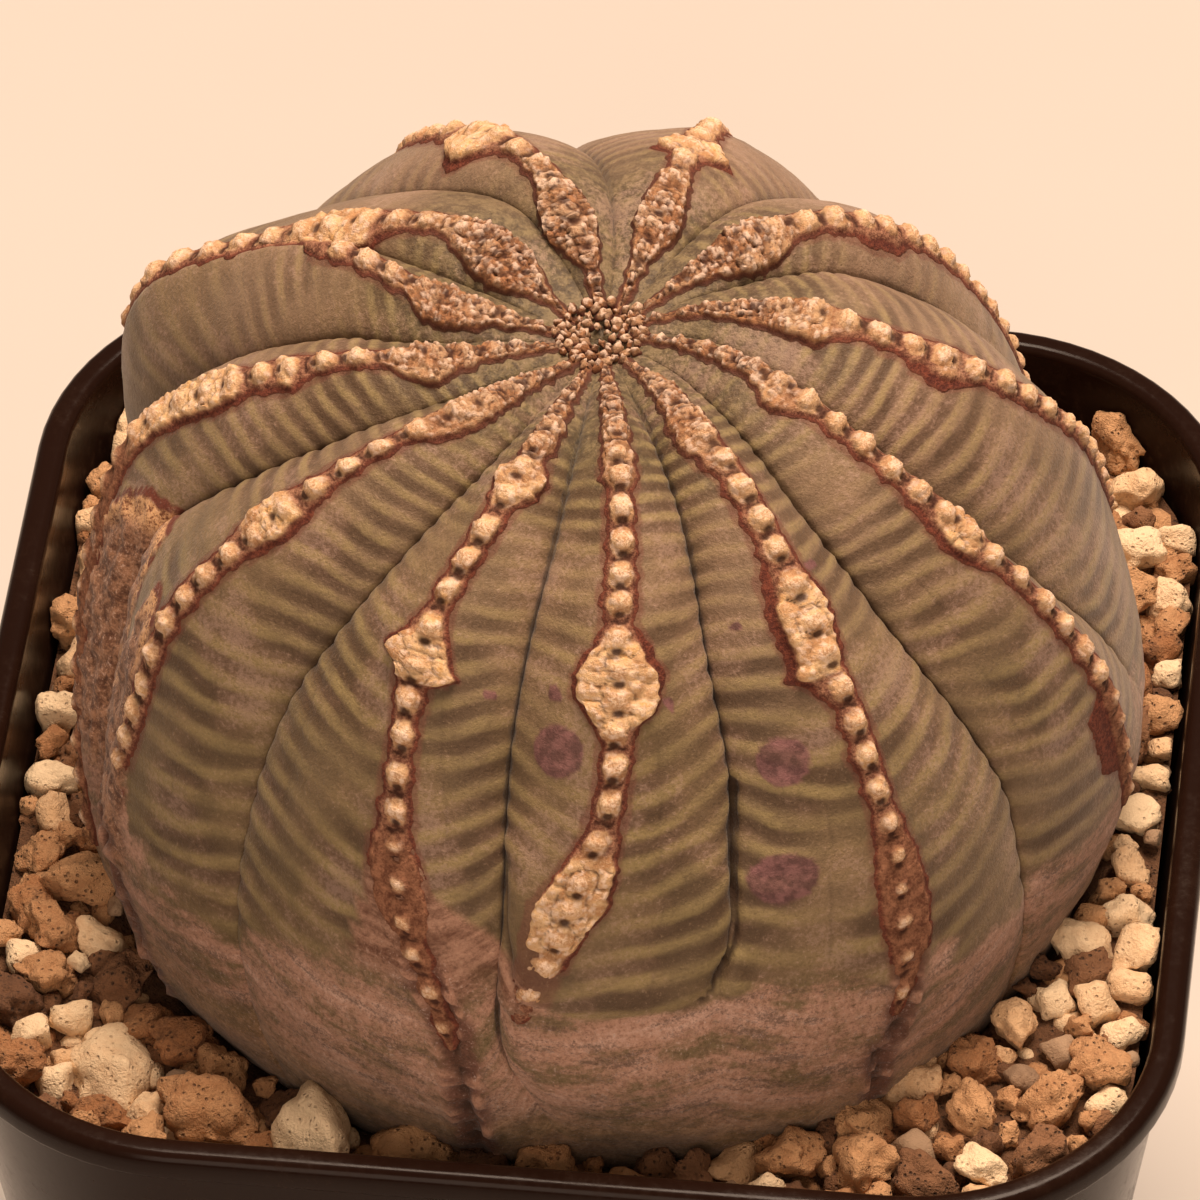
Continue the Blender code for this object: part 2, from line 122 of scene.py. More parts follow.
# %% A finish: one material and the nodes that it is made of
class Finish:
    """A material on a Principled shader. Places are read in millimetres of the object's own frame."""

    def __init__(self, name, **constants):
        self.material = bpy.data.materials.new(name)
        self.material.use_nodes = True
        self.tree = self.material.node_tree
        self.shader = self.tree.nodes["Principled BSDF"]
        for socket, value in constants.items():
            self.shader.inputs[socket.replace("_", " ")].default_value = value
        self.place = self.node("TexCoord", {}, {}, "Object") * (1.0 / MM)

    def node(self, kind, settings, sockets, output=0):
        """Add a node: its settings first, then the value or the link of each socket named."""
        made = self.tree.nodes.new("ShaderNode" + kind)
        for name, value in settings.items():
            setattr(made, name, value)
        for key, value in sockets.items():
            if isinstance(value, Signal):
                self.tree.links.new(value.socket, made.inputs[key])
            else:
                made.inputs[key].default_value = value
        return Signal(self, made.outputs[output])

    def attribute(self, name):
        return self.node("Attribute", {"attribute_name": name}, {}, "Fac")

    def clouds(self, per_mm, detail=3.0, rough=0.55, place=None):
        """Soft noise from 0 to 1, with this many waves a millimetre."""
        sockets = {"Vector": place or self.place, "Scale": per_mm, "Detail": detail, "Roughness": rough}
        return self.node("TexNoise", {}, sockets, "Fac")

    def cells(self, per_mm):
        """Distance from the middles of scattered cells, with this many cells a millimetre."""
        return self.node("TexVoronoi", {}, {"Vector": self.place, "Scale": per_mm}, "Distance")

    def mix(self, share, first, second, blend="MIX"):
        """Mix two colours; a colour is three numbers or another mix."""
        first, second = [(*value, 1.0) if isinstance(value, tuple) else value for value in (first, second)]
        settings = {"data_type": "RGBA", "blend_type": blend}
        return self.node("Mix", settings, {0: share, 6: first, 7: second}, 2)

    def washes(self, colour, *layers):
        """Lay washes over a colour, one after the other; a layer is its mask and its colour."""
        for share, wash in layers:
            colour = self.mix(share, colour, wash)
        return colour

    def wear(self, color=None, roughness=None, height=None, relief=0.0):
        """Connect what changes over the surface: colour, roughness and a bump's height in millimetres."""
        if color is not None:
            self.tree.links.new(color.socket, self.shader.inputs["Base Color"])
        if roughness is not None:
            self.tree.links.new(roughness.socket, self.shader.inputs["Roughness"])
        if height is not None:
            bump = self.node("Bump", {}, {"Height": height, "Distance": relief * MM, "Strength": 1.0})
            self.tree.links.new(bump.socket, self.shader.inputs["Normal"])
        return self.material


print("finish kit ready")

# %% [markdown]
# Bringing a piece into the scene
#
# Every piece ends in the same way: its place in its mesh, its object at the origin, one material, smooth
# shading up to an angle, the body it rides on as its parent, and the imported node that it stands for hidden.

# %% Helpers that every piece uses
def select_only(obj):
    """Deselect everything, then make this object the active and only selected one."""
    bpy.ops.object.select_all(action="DESELECT")
    obj.select_set(True)
    bpy.context.view_layer.objects.active = obj


def add(primitive, **settings):
    """Add a primitive with nothing else selected."""
    bpy.ops.object.select_all(action="DESELECT")
    primitive(**settings)
    return bpy.context.active_object


def edit(obj, *steps):
    """Run editing operators on all of an object's mesh."""
    select_only(obj)
    bpy.ops.object.mode_set(mode="EDIT")
    bpy.ops.mesh.select_all(action="SELECT")
    for step in steps:
        step()
    bpy.ops.object.mode_set(mode="OBJECT")


def vertices_of(obj):
    """The places of a mesh's vertices, one row for each."""
    flat = np.empty(len(obj.data.vertices) * 3)
    obj.data.vertices.foreach_get("co", flat)
    return flat.reshape(-1, 3)


def move_vertices(obj, points):
    obj.data.vertices.foreach_set("co", np.asarray(points, dtype=np.float32).ravel())
    obj.data.update()


def mark(obj, name, values):
    """Store a number for each vertex, for the finish to read."""
    made = obj.data.attributes.new(name, "FLOAT", "POINT")
    made.data.foreach_set("value", np.asarray(values, dtype=np.float32).ravel())


def seat(obj, name, node, finish, smooth=50.0):
    """Name a finished piece, give it its material, hang it on the root body, and hide the imported node it
    stands for.
    """
    obj.name = name
    obj.data.name = name
    select_only(obj)
    bpy.ops.object.transform_apply(location=True, rotation=True, scale=True)
    bpy.ops.object.shade_smooth_by_angle(angle=math.radians(smooth))
    obj.data.materials.clear()
    obj.data.materials.append(finish)
    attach(obj, "root")
    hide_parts(node)
    triangles = sum(len(face.vertices) - 2 for face in obj.data.polygons)
    print(f"{name}: {triangles} triangles")


# %% [markdown]
# The shape of the plant
#
# Seen from the side the plant is one smooth outline from the crown to the tip of its root. Each rib
# stands a little proud of it or hangs back, its crest wanders round the plant, and the grooves lie
# between the crests. A lathe can't give that, and sculpting can't be measured, so the form is a formula:
# a point is named by its rib, how far it lies across the rib, and how far it lies down from the crown.

# %% Sizes of the plant, in millimetres and degrees
POT_HEIGHT = 75.0
PLANT_AXIS = (0.9, 0.1)
PLANT_TURN = 7.3
BODY_OUTLINE = [
    (0.0, 38.8), (4.0, 39.6), (9.0, 41.6), (14.0, 42.4), (20.0, 40.6), (27.0, 35.2), (33.0, 27.4),
    (37.0, 18.2), (39.1, 9.0), (39.3, 3.0), (38.0, -4.0), (34.6, -11.0), (28.0, -17.0), (19.0, -21.5),
    (11.0, -24.6), (7.0, -30.0), (4.8, -40.0), (2.6, -50.0), (0.0, -55.0),
]
STATIONS = [4, 12, 20, 30, 40, 50, 60, 72, 86]
MIDWAY = [0.5] * 9

# The depths that a groove can have there
USUAL = [0.2, 1.8, 2.9, 3.2, 3.1, 2.7, 2.0, 1.2, 0.0]
FADED = [0.2, 1.8, 2.9, 3.2, 3.1, 2.6, 1.2, 0.2, 0.0]
BRIEF = [0.2, 1.8, 2.9, 3.2, 3.1, 1.8, 0.2, 0.0, 0.0]
SHORT = [0.2, 1.8, 1.8, 0.2, 0.0, 0.0, 0.0, 0.0, 0.0]
DEEP = [0.2, 1.8, 2.9, 3.6, 5.6, 7.0, 5.6, 2.4, 0.0]

# Each rib, counterclockwise from the right, at the stations down from the crown: the direction of its
# crest, how far it stands proud, where its groove to the next rib lies, and that groove's depth
RIBS = [
    ([12, -2, -6, -2, 4, 10, 18, 20, 18], [0.8, 0.1, 0.6, 1.0, 0.6, -0.6, -0.8, -0.5, 0],
     [0.53, 0.64, 0.73, 0.70, 0.60, 0.53, 0.50, 0.49, 0.5], USUAL),
    ([37, 33, 31, 31, 30, 31, 34, 37, 38], [0.3, 0, 0.3, -0.2, -1.2, -1.7, -1.8, -1, 0],
     [0.57, 0.58, 0.55, 0.52, 0.51, 0.50, 0.50, 0.50, 0.5], USUAL),
    ([66, 67, 69, 72, 74, 75, 75, 75, 75], [0, 0, 0, 0.2, 0.2, 0, 0, 0, 0], MIDWAY, USUAL),
    ([94, 104, 111, 116, 115, 114, 113, 113, 113], [0.7, 0.7, 1, 1.1, 0.9, 0.4, 0, 0, 0],
     [0.34, 0.32, 0.35, 0.39, 0.46, 0.49, 0.50, 0.51, 0.5], USUAL),
    ([137, 140, 147, 151, 152, 152, 151, 150, 150], [0, 0.2, 0.2, 1.7, 4.3, 1.8, -3.8, -3, 0], MIDWAY, SHORT),
    ([176, 171, 158, 154, 155, 155, 154, 153, 153], [0.4, 0, 0.5, 1.8, 4.1, 1.2, -3.8, -3, 0],
     [0.52, 0.55, 0.57, 0.57, 0.50, 0.47, 0.48, 0.50, 0.5], DEEP),
    ([201, 200, 189, 179, 175, 180, 188, 197, 198], [0.3, -0.3, -0.5, -0.3, 0.7, 0, -0.7, 0, 0],
     [0.50, 0.52, 0.56, 0.51, 0.43, 0.44, 0.47, 0.50, 0.5], USUAL),
    ([234, 229, 218, 210, 205, 205, 204, 207, 208], [0.3, 0, -0.2, 0, 0.3, 0, 0, 0, 0],
     [0.51, 0.55, 0.57, 0.56, 0.49, 0.44, 0.43, 0.46, 0.5], USUAL),
    ([253, 252, 248, 243, 244, 247, 253, 255, 255], [0, -0.3, -0.3, 0, 0, 0.4, 0.5, 0.4, 0],
     [0.46, 0.43, 0.46, 0.50, 0.49, 0.60, 0.70, 0.61, 0.5], FADED),
    ([274, 274, 273.5, 271.5, 270, 264.6, 260, 270, 272], [0.3, 0.3, 0, 0, 0.1, 0.6, 0, -0.5, 0],
     [0.52, 0.51, 0.51, 0.48, 0.49, 0.50, 0.50, 0.50, 0.5], BRIEF),
    ([299, 298, 300, 301, 302, 302, 300, 295, 294], [0.4, 0, 0, 0, 0.2, 0.7, 1, 0.6, 0],
     [0.53, 0.46, 0.41, 0.42, 0.46, 0.52, 0.51, 0.51, 0.5], USUAL),
    ([340, 329, 328, 331, 335, 338, 340, 345, 345], [0.8, 0.2, -0.3, -0.2, 0.3, 1, 0.1, -1.3, 0],
     [0.46, 0.34, 0.27, 0.19, 0.18, 0.25, 0.30, 0.40, 0.5], BRIEF),
]
RIB_COUNT = len(RIBS)
RIB_CROWNING = 0.55


# %% Reading the outline and the ribs at any place
def smooth_line(points, steps=12):
    """Read a smooth curve through a short list of points."""
    given = np.array(points, dtype=float)
    padded = np.vstack([2 * given[0] - given[1], given, 2 * given[-1] - given[-2]])
    line = []
    for first, second, third, fourth in zip(padded, padded[1:], padded[2:], padded[3:]):
        for step in range(steps):
            t = step / steps
            line.append(0.5 * (2 * second + (third - first) * t
                               + (2 * first - 5 * second + 4 * third - fourth) * t**2
                               + (3 * second - first - 3 * third + fourth) * t**3))
    line.append(given[-1])
    return np.array(line)


OUTLINE = smooth_line(BODY_OUTLINE)
OUTLINE_LENGTHS = np.concatenate([[0.0], np.cumsum(np.linalg.norm(np.diff(OUTLINE, axis=0), axis=1))])
OUTLINE_LENGTH = float(OUTLINE_LENGTHS[-1])
OUTLINE_TANGENTS = np.gradient(OUTLINE, axis=0)
OUTLINE_TANGENTS /= np.linalg.norm(OUTLINE_TANGENTS, axis=1)[:, None]


def outline_at(down, outward):
    """Distance from the axis and height over the rim, moved outward square to the outline."""
    x, z, along_x, along_z = (
        np.interp(down, OUTLINE_LENGTHS, values)
        for values in (OUTLINE[:, 0], OUTLINE[:, 1], OUTLINE_TANGENTS[:, 0], OUTLINE_TANGENTS[:, 1]))
    return x - along_z * outward, z + along_x * outward


def between(values, down):
    """Values given at the stations, read smoothly at any distances down a rib."""
    values, stations = np.array(values, dtype=float), np.array(STATIONS, dtype=float)
    slopes = np.gradient(values, stations)
    down = np.clip(down, stations[0], stations[-1])
    index = np.clip(np.searchsorted(stations, down, side="right") - 1, 0, len(stations) - 2)
    span = stations[index + 1] - stations[index]
    t = (down - stations[index]) / span
    start = values[index] * (1 + 2 * t) * (1 - t) ** 2 + slopes[index] * span * t * (1 - t) ** 2
    return start + values[index + 1] * t**2 * (3 - 2 * t) + slopes[index + 1] * span * t**2 * (t - 1)


def crest(rib, down):
    """Direction and standing-out of a rib's crest; ribs past the last one go on round the plant."""
    turns, index = divmod(rib, RIB_COUNT)
    return between(RIBS[index][0], down) + 360.0 * turns, between(RIBS[index][1], down)


def groove(rib, down):
    """Direction, standing-out and depth of the groove that follows a rib."""
    _, _, place, depths = RIBS[rib % RIB_COUNT]
    here, here_out = crest(rib, down)
    there, there_out = crest(rib + 1, down)
    share = between(place, down)
    return here + (there - here) * share, here_out + (there_out - here_out) * share, between(depths, down)


def skin_point(rib, across, down, outward):
    """Points on a rib's skin: across runs from -1 in the groove before, over the crest, to 1 in the next."""
    crest_direction, crest_out = crest(rib, down)
    before, after = groove(rib - 1, down), groove(rib, down)
    edge_direction, edge_out, depth = (np.where(across > 0, b, a) for a, b in zip(before, after))
    share = np.abs(across)
    direction = crest_direction + (edge_direction - crest_direction) * share
    standing = crest_out + (edge_out - crest_out) * share
    relief = RIB_CROWNING * (1.0 - share) + (1.0 - RIB_CROWNING) * np.sqrt(np.maximum(1.0 - share**2, 0.0))
    radius, height = outline_at(down, standing - depth * (1.0 - relief) + outward)
    radius = np.maximum(radius, 0.0)
    angle = np.radians(direction + PLANT_TURN)
    x, y = PLANT_AXIS[0] + radius * np.cos(angle), PLANT_AXIS[1] + radius * np.sin(angle)
    return np.stack(np.broadcast_arrays(x, y, POT_HEIGHT + height), axis=-1)


print(f"outline {OUTLINE_LENGTH:.0f} mm from crown to root tip, {RIB_COUNT} ribs")

# %% [markdown]
# The corky seams, as a map
#
# On the real plant every crest carries a seam of cork. It is a chain of knobs, one for each old flower
# stalk, that widens into crusted patches and is edged in rust red. The skin needs to know where the
# seams lie, to redden beside them, so their outlines are written down first: how far the cork reaches
# to each side of the crest, at distances down from the crown.

# %% Reach of the cork on both sides of each crest: (down, reach before, reach after)
SEAMS = [
    [(6, .7, .6), (8, .9, .8), (10, 1.3, .9), (13, 1.9, 1.2), (16, 2.3, 1.4), (18, 1.2, 1.1), (20, 1, 1),
     (23, 1.2, 1.2), (26, 1.8, 1.4), (29, 1.1, 1.1), (33, 1.1, 1.1), (41, 1.1, 1.1), (50, 1.2, 1.2),
     (58, .9, .9)],
    [(6, .7, .6), (8, 1, .8), (10, 1.6, 1.1), (12, 2.2, 1.6), (14, 2.3, 1.6), (16, 1.5, 1.2), (18, 1.1, 1.1),
     (23, 1.4, 1.2), (26, 1.6, 1.2), (28, 1.2, 1.1), (38, 1.1, 1.1), (44, 1.5, 1.4), (52, 1.2, 1.1),
     (60, .9, .9)],
    [(6, .7, .7), (8, 1.1, .9), (10, 1.8, 1.5), (12, 1.7, 1.5), (14, 1.4, 1.4), (16, 1, 1.1), (18, 1.1, 1.2),
     (19.5, 2.9, 2.7), (21, 1.6, 1.5), (24, 1.2, 1.2), (33, 1.1, 1.1), (38, 1.8, 1.6), (44, 1.1, 1.1),
     (56, .9, .9)],
    [(6, .8, .8), (8, 1.3, 1.7), (10, 1.6, 2), (12, 1.6, 1.6), (14, 1.3, 1.1), (16, .9, .9), (18, 1, 1),
     (20.5, 1.3, 2.2), (22, 1.5, 3), (23, 1.5, 2.6), (24.5, 1.5, 1.5), (27, 1.3, 1.2), (34, 1.1, 1.1),
     (45, 1.3, 1.2), (60, .9, .9)],
    [(5, .7, .8), (7, 1.4, 1.7), (9, 1.8, 2.3), (11, 1.8, 2.2), (13, 1.5, 1.4), (15, 1.2, .9), (18, 1.1, 1),
     (20, 1.4, 1.7), (23, 1.7, 1.9), (26, 1.6, 1.5), (30, 1.3, 1.2), (34, 1.1, 1.1), (41, 1.4, 1.2),
     (46, .9, .9)],
    [(5, .8, .7), (8, 1.2, 1.2), (11, 1.2, 2.1), (13, .9, 2.4), (14.5, .9, 1.3), (17, 1.1, 1.1),
     (20, 1.2, 1.1), (23, 1.2, 1)],
    [(6, .7, .8), (9, .8, 1), (12, 1.1, 1.7), (14, 1.1, 2.5), (15.5, .9, 1.8), (17, 1, .9), (20, .9, .8),
     (22, 1.3, 1.1), (24, 1.6, 1.6), (27, 1.3, 1.2), (29, 1.9, 1.5), (31, 1.8, 1.8), (34, 1.7, 1.6),
     (38, 1.6, 1.6), (42, 1.7, 1.6), (46, 2, 1.9), (52, 2.1, 1.7), (60, 1.5, 1.3), (68, 1, .9)],
    [(6, .7, .6), (9, 1.2, .7), (11, 1.6, 1), (13, 1.7, 1.3), (15, 1.4, 1.6), (17, 1.2, 1.6), (18.5, .9, .7),
     (20, 1, .7), (22, 1.1, .6), (25, 1.3, .8), (28, 1.9, 1.3), (30, 2.1, 1.5), (32, 1.8, 1.1), (34, 1.1, 1),
     (38, 1.2, 1.1), (46, 1.3, 1.1), (51, 1.3, 1.2), (54.5, .9, .9)],
    [(6, .6, .6), (9, .7, .6), (11, .8, .8), (13.5, .8, 1.2), (16, 1.1, 1.2), (17.5, 1.7, 1.9),
     (18.8, 1.4, 1.8), (20, 1.1, 1), (22, 1.1, .8), (25, 1.1, .8), (28, 1, .8), (29.3, 1.3, 1),
     (30.5, 1.7, 1.5), (32, 2.9, 2.2), (33, 1.5, 2.9), (34, 1.3, 1.2), (36, 1.1, 1), (38, 1, .9),
     (42, 1.2, 1), (45, 1.7, 1.1), (47, 2.2, 1.7), (50, 2.1, 2), (52.5, 1.2, 1.2), (57, .8, .8),
     (60, .6, .6)],
    [(6, .6, .6), (9, .8, .7), (13, 1.1, 1), (15, 1.2, 1.1), (17, 1.3, 1.3), (18, .9, .8), (20, 1, .9),
     (24, 1.1, 1), (26, 1.3, 1.1), (27.7, 1.1, 1), (29, 1.5, 1.5), (30.2, 2.2, 2), (31.3, 2.9, 2.9),
     (33, 2.7, 3.1), (34, 1.9, 2.7), (34.8, 1.4, 1.6), (36, 1, 1.3), (40, 1, 1), (43, 1.2, 1.3),
     (46, 2, 2.1), (48, 2.6, 2.4), (50, 2.3, 1.6), (52, 1.8, 1.2), (55, 1.3, 1.1), (57, 1, .9)],
    [(5, .5, .7), (7, .6, 1), (9, .8, 1.3), (11, 1.1, 1.2), (14, 1.8, 1.2), (16, 1.8, .9), (18, 1.2, .9),
     (21, 1.2, .8), (25, 1.3, 1), (28, 1.6, 1.4), (29.5, 2.1, 1.7), (31.5, 2.1, 1.4), (33, 2.2, 1),
     (34, 2.7, .8), (35, 1.8, .9), (37, 1.1, 1), (41, 1.2, .9), (45, 1, .9), (47, 1.3, 1.3), (50, 1.6, 1.9),
     (53, 1.6, 2.3), (56, .9, 2.4), (58.5, .7, 1.7), (60.5, .6, .6)],
    [(6, .7, .7), (9, .9, .8), (13, 1, 1), (15, 2, 1.1), (16.5, 2, 1), (18, 1.1, 1), (22, 1, 1),
     (26, 1.1, 1.1), (30, 1.5, 1.4), (32, 1.9, 1.6), (33.5, 1.8, 1.5), (35, 1.4, 1), (37, 1, .9),
     (42, .9, .9), (45, 1, 1), (48, 1.1, 1.1), (54, 1.2, 1.1), (60, 1, .9), (64, .7, .7)],
]

# The seams start this far down, at the edge of the crown
CROWN_EDGE = 2.3

# Rust margins wider than the usual one: rib, side, from and to down the rib, extra width
RUST_USUAL = 0.20
RUST_WIDE = [
    (10, -1, 26, 35, .55), (10, 1, 28, 34, .3), (9, 1, 28.5, 32, .45), (9, -1, 29, 34, .15),
    (8, -1, 30, 33, .2), (0, -1, 23, 27, .6), (11, -1, 28, 35, .3), (6, 1, 23, 36, .25),
    (7, 1, 27, 33, .3), (4, 1, 19, 24, .4), (11, -1, 50.5, 57.5, 1.9), (1, -1, 22, 27, .4),
    (2, -1, 19, 21, .4), (2, 1, 19, 21, .4), (3, 1, 20, 23, .4),
]

# Where each seam turns from cream to the brown of old bark
BROWN_FROM = [52, 54, 48, 54, 54, 60, 40, 56, 44.5, 60, 46, 49]


# %% Outline of a seam, made a little ragged
def ripple(down, seed):
    """A ragged line round zero, about a tenth of a millimetre to each side."""
    waves = [(2.3, 0.05), (1.3, 0.04), (0.8, 0.025)]
    return sum(size * np.sin(2 * math.pi * down / wave + seed * (1.7 + number))
               for number, (wave, size) in enumerate(waves))


def soft_step(values, low, high):
    """0 at low and under, 1 at high and over, and a soft step between; low may be the larger one."""
    t = np.clip((values - low) / (high - low), 0.0, 1.0)
    return t * t * (3 - 2 * t)


def fade(distance, width):
    """1 on a line, and almost 0 from two widths away."""
    return np.exp(-((distance / width) ** 2))


def within(values, low, high, soft):
    """1 between two limits, with a soft step of this width inside each."""
    return soft_step(values, low, low + soft) * soft_step(values, high, high - soft)


def all_round(table, direction):
    """Read a table of (direction, value) round the plant; far down, at 99 mm, where it has no entry."""
    directions, values = np.array(table, dtype=float).T
    return np.interp(direction % 360.0, directions, values, left=99.0, right=99.0)


def seam_reach(rib, down):
    """Reach of the cork before and after the crest."""
    given = np.array(SEAMS[rib], dtype=float)
    before = np.interp(down, given[:, 0], given[:, 1]) + ripple(down, 2 * rib + 1)
    after = np.interp(down, given[:, 0], given[:, 2]) + ripple(down, 2 * rib + 2)
    narrow = 0.55 + 0.45 * soft_step(down, CROWN_EDGE, 9.0)
    return before * narrow, after * narrow


def rust_width(rib, side, down):
    """Width of the rust margin at places on one side of a seam."""
    width = RUST_USUAL * (0.5 + 0.5 * soft_step(down, 7.0, 18.0))
    width = width + 0.4 * np.abs(ripple(down, rib + 7 * side + 0.5))
    for number, side_given, start, end, extra in RUST_WIDE:
        if number == rib and side_given == side:
            width = width + extra * within(down, start - 1, end + 1, 2)
    return width


print("seams mapped:", sum(len(seam) for seam in SEAMS), "places")


# %% [markdown]
# A ball drawn out to shape
#
# A UV sphere is one closed skin of rows and columns, with a pole at each end, and it always stays closed
# however far its points are moved. The plant is such a ball: its rows run down from the crown to the
# root's tip, and its columns lie along the crests and grooves. A corky seam is a flattened one, and so is
# the bed of gravel with the plant's hole pressed into it.

# %% Balls, cells and grain
def drape(sheet):
    """Draw a ball out to a sheet of points in millimetres; give each vertex's row and column in it too."""
    rows, columns = len(sheet) - 1, sheet.shape[1]
    obj = add(bpy.ops.mesh.primitive_uv_sphere_add, segments=columns, ring_count=rows, radius=1.0)
    x, y, z = vertices_of(obj).T
    row = np.rint(np.arccos(np.clip(z, -1.0, 1.0)) / math.pi * rows).astype(int)
    column = np.rint(np.arctan2(y, x) / (2 * math.pi) * columns).astype(int) % columns
    move_vertices(obj, sheet[row, column] * MM)
    edit(obj, lambda: bpy.ops.mesh.normals_make_consistent(inside=False))
    return obj, row, column


def outward_of(points, closed):
    """Directions square to a sheet of points whose rows run down and whose columns run counterclockwise."""
    along = np.gradient(points, axis=0)
    if closed:
        across = np.roll(points, -1, axis=1) - np.roll(points, 1, axis=1)
    else:
        across = np.gradient(points, axis=1)
    square = np.cross(along, across)
    return square / np.maximum(np.linalg.norm(square, axis=2, keepdims=True), 1e-9)


def chance(column, row, seed):
    """A number from 0 to 1 that looks random but is always the same for the same cell."""
    return np.mod(np.sin(column * 127.1 + row * 311.7 + seed * 74.7) * 43758.5453, 1.0)


def lumps(x, y, pitch, seed):
    """Millimetres to the nearest and the next nearest of scattered lumps, and the nearest one's chance."""
    column, row = np.floor(x / pitch), np.floor(y / pitch)
    near = np.full(np.shape(x), 1e9)
    following, which = near.copy(), np.zeros(np.shape(x))
    for step_x in (-1, 0, 1):
        for step_y in (-1, 0, 1):
            cell_x, cell_y = column + step_x, row + step_y
            middle_x = (cell_x + 0.15 + 0.7 * chance(cell_x, cell_y, seed)) * pitch
            middle_y = (cell_y + 0.15 + 0.7 * chance(cell_x, cell_y, seed + 5)) * pitch
            distance = np.hypot(x - middle_x, y - middle_y)
            nearer = distance < near
            following = np.where(nearer, near, np.minimum(following, distance))
            which = np.where(nearer, chance(cell_x, cell_y, seed + 9), which)
            near = np.where(nearer, distance, near)
    return near, following, which


def grain(points, size, seed):
    """Smooth noise from about -1 to 1 at every point, with waves of this size in millimetres."""
    shift = Vector((seed * 17.3, seed * 5.1, seed * 9.7))
    flat = points.reshape(-1, 3)
    values = [noise.noise(Vector(point) / size + shift) for point in flat]
    return np.array(values).reshape(points.shape[:-1])


print("one ball, drawn out, for each closed skin")

# %% [markdown]
# The skin of the plant
#
# The skin is olive, thin and a little shrunken. Fine cross bands run from each groove down to the crest
# and up again, like hung cloth. Low down the skin turns to mottled pinkish bark, and on the left it has
# dried to two wedges of corky fibre. A fold runs under the lobe of the middle rib, where it overhangs the
# bark, and a dark line of painted shadow follows it. Three cracks with crumbs along them open at the base,
# rust brown at their sides and darkened inside with painted shade, and there are a few round scars. The
# grooves carry thin lines of painted shade too. All of it is real relief as well, the bands up to 0.3 mm
# deep, because it catches the light at the ribs' edges, where a bump in the finish alone would leave the
# outline smooth.

# %% Marks on the skin: (direction, down) in degrees and millimetres
LOBE_FOLD = [(286, 40.6), (284.5, 44.9), (283.8, 49), (283.5, 52.1), (281.5, 54), (280, 55.9), (277, 56.9),
             (273.5, 57.2), (267.5, 57), (263.5, 57), (261, 56.2), (259.5, 54.5), (258.3, 51), (257.7, 46)]
FAINT_LINES = [
    [(247.6, 35), (248.5, 38.5), (249.5, 40.8), (250.5, 42.9), (251, 45.1)],
    [(276.5, 36.8), (276, 43.4), (275.5, 49.5), (274, 54.5)],
    [(295.8, 44), (295.5, 46.1), (294, 49.9), (293, 54.6)],
    [(228, 36), (229, 44), (230.5, 52)],
    [(321, 30), (323, 40), (325, 50)],
]
CRACKS = [
    [(247.5, 50.5), (249, 52.7), (250.5, 55.4), (252, 57.4), (253.5, 59.8), (254.5, 64.8), (255, 68.3),
     (255.5, 73)],
    [(301.5, 58.1), (301, 60), (300, 62), (299.5, 63.8), (297.5, 64.6), (298, 66), (298, 70)],
    [(203, 61.2), (205, 63.2), (206.5, 64.8), (208.5, 69.1), (210, 74.3)],
]
# Round scars: direction and down of the middle, half width, half height
SCARS = [(263.5, 36.8, 1.75, 1.75), (292, 39.6, 1.75, 1.75), (289.5, 48, 2.5, 1.75), (262.5, 32.7, .45, .45),
         (278.5, 33.6, .4, .5), (290.5, 29.1, .35, .35), (253, 33.5, .5, .4), (305.5, 27, .6, .4)]

# Where bark, the corky fibre of the two left wedges and the old brown sheet start, going down
BARK_FROM = [(0, 60), (173, 60), (179, 44), (183, 40), (188, 38.5), (192, 38.8), (194, 43.7), (195.5, 50),
             (198, 41), (200, 40.6), (202, 42.6), (203, 47), (204, 50), (206, 54.2), (208.5, 59), (214, 60),
             (219, 60.9), (226, 60.6), (233, 58), (239, 54.8), (246.5, 52), (252.5, 53.6), (261.5, 56),
             (268.5, 57.1), (279, 56.5), (285.5, 55.6), (295.5, 57), (303.5, 58), (314.5, 60), (324.5, 60.4),
             (336, 59.5), (348.5, 57.7), (360, 60)]
FIBRE_FROM = [(172, 62), (177, 50), (180, 42.6), (183, 40), (188, 38.5), (192, 38.8), (194, 43.7), (195, 50),
              (196.6, 50), (198, 41), (200, 40.6), (202, 42.6), (203, 47), (204, 50), (206, 54.2), (208, 62)]
BROWN_FROM_RIB_8 = [(240.5, 60), (242.5, 47.5), (246.5, 44.5), (250, 48.6), (256, 51.2), (261.5, 54.6),
                    (263, 60)]

# How sharp the groove after each rib is, and how dark its line of painted shade
GROOVE_SHARPNESS = [.6, .6, .5, .6, .4, .6, .6, .35, .8, .8, .65, .6]


# %% Distance over the skin to a drawn line
def to_line(direction, down, line):
    """Millimetres over the skin to the nearest point of a line of (direction, down)."""
    radius = np.maximum(outline_at(down, 0.0)[0], 0.5)
    middle = line[len(line) // 2][0]
    turned = (direction - middle + 180.0) % 360.0 - 180.0
    best = np.full(np.shape(down), 1e9)
    for (start, start_down), (end, end_down) in zip(line, line[1:]):
        start_x, end_x = (np.radians(value - middle) * radius for value in (start, end))
        x = np.radians(turned) * radius
        step_x, step_y = end_x - start_x, end_down - start_down
        share = ((x - start_x) * step_x + (down - start_down) * step_y) / (step_x**2 + step_y**2)
        share = np.clip(share, 0.0, 1.0)
        best = np.minimum(best, np.hypot(x - start_x - share * step_x, down - start_down - share * step_y))
    return best


def beyond_seam(rib, aside, down):
    """Millimetres from a seam's rust margin out over the skin."""
    before, after = seam_reach(rib, down)
    start, end = CROWN_EDGE, SEAMS[rib][-1][0]
    past_before = -aside - before - rust_width(rib, -1, down)
    past_after = aside - after - rust_width(rib, 1, down)
    outside = np.where(aside < 0, past_before, past_after)
    return outside + 9.0 * soft_step(down, end, end + 2.0) + 9.0 * soft_step(down, start, start - 2.0)


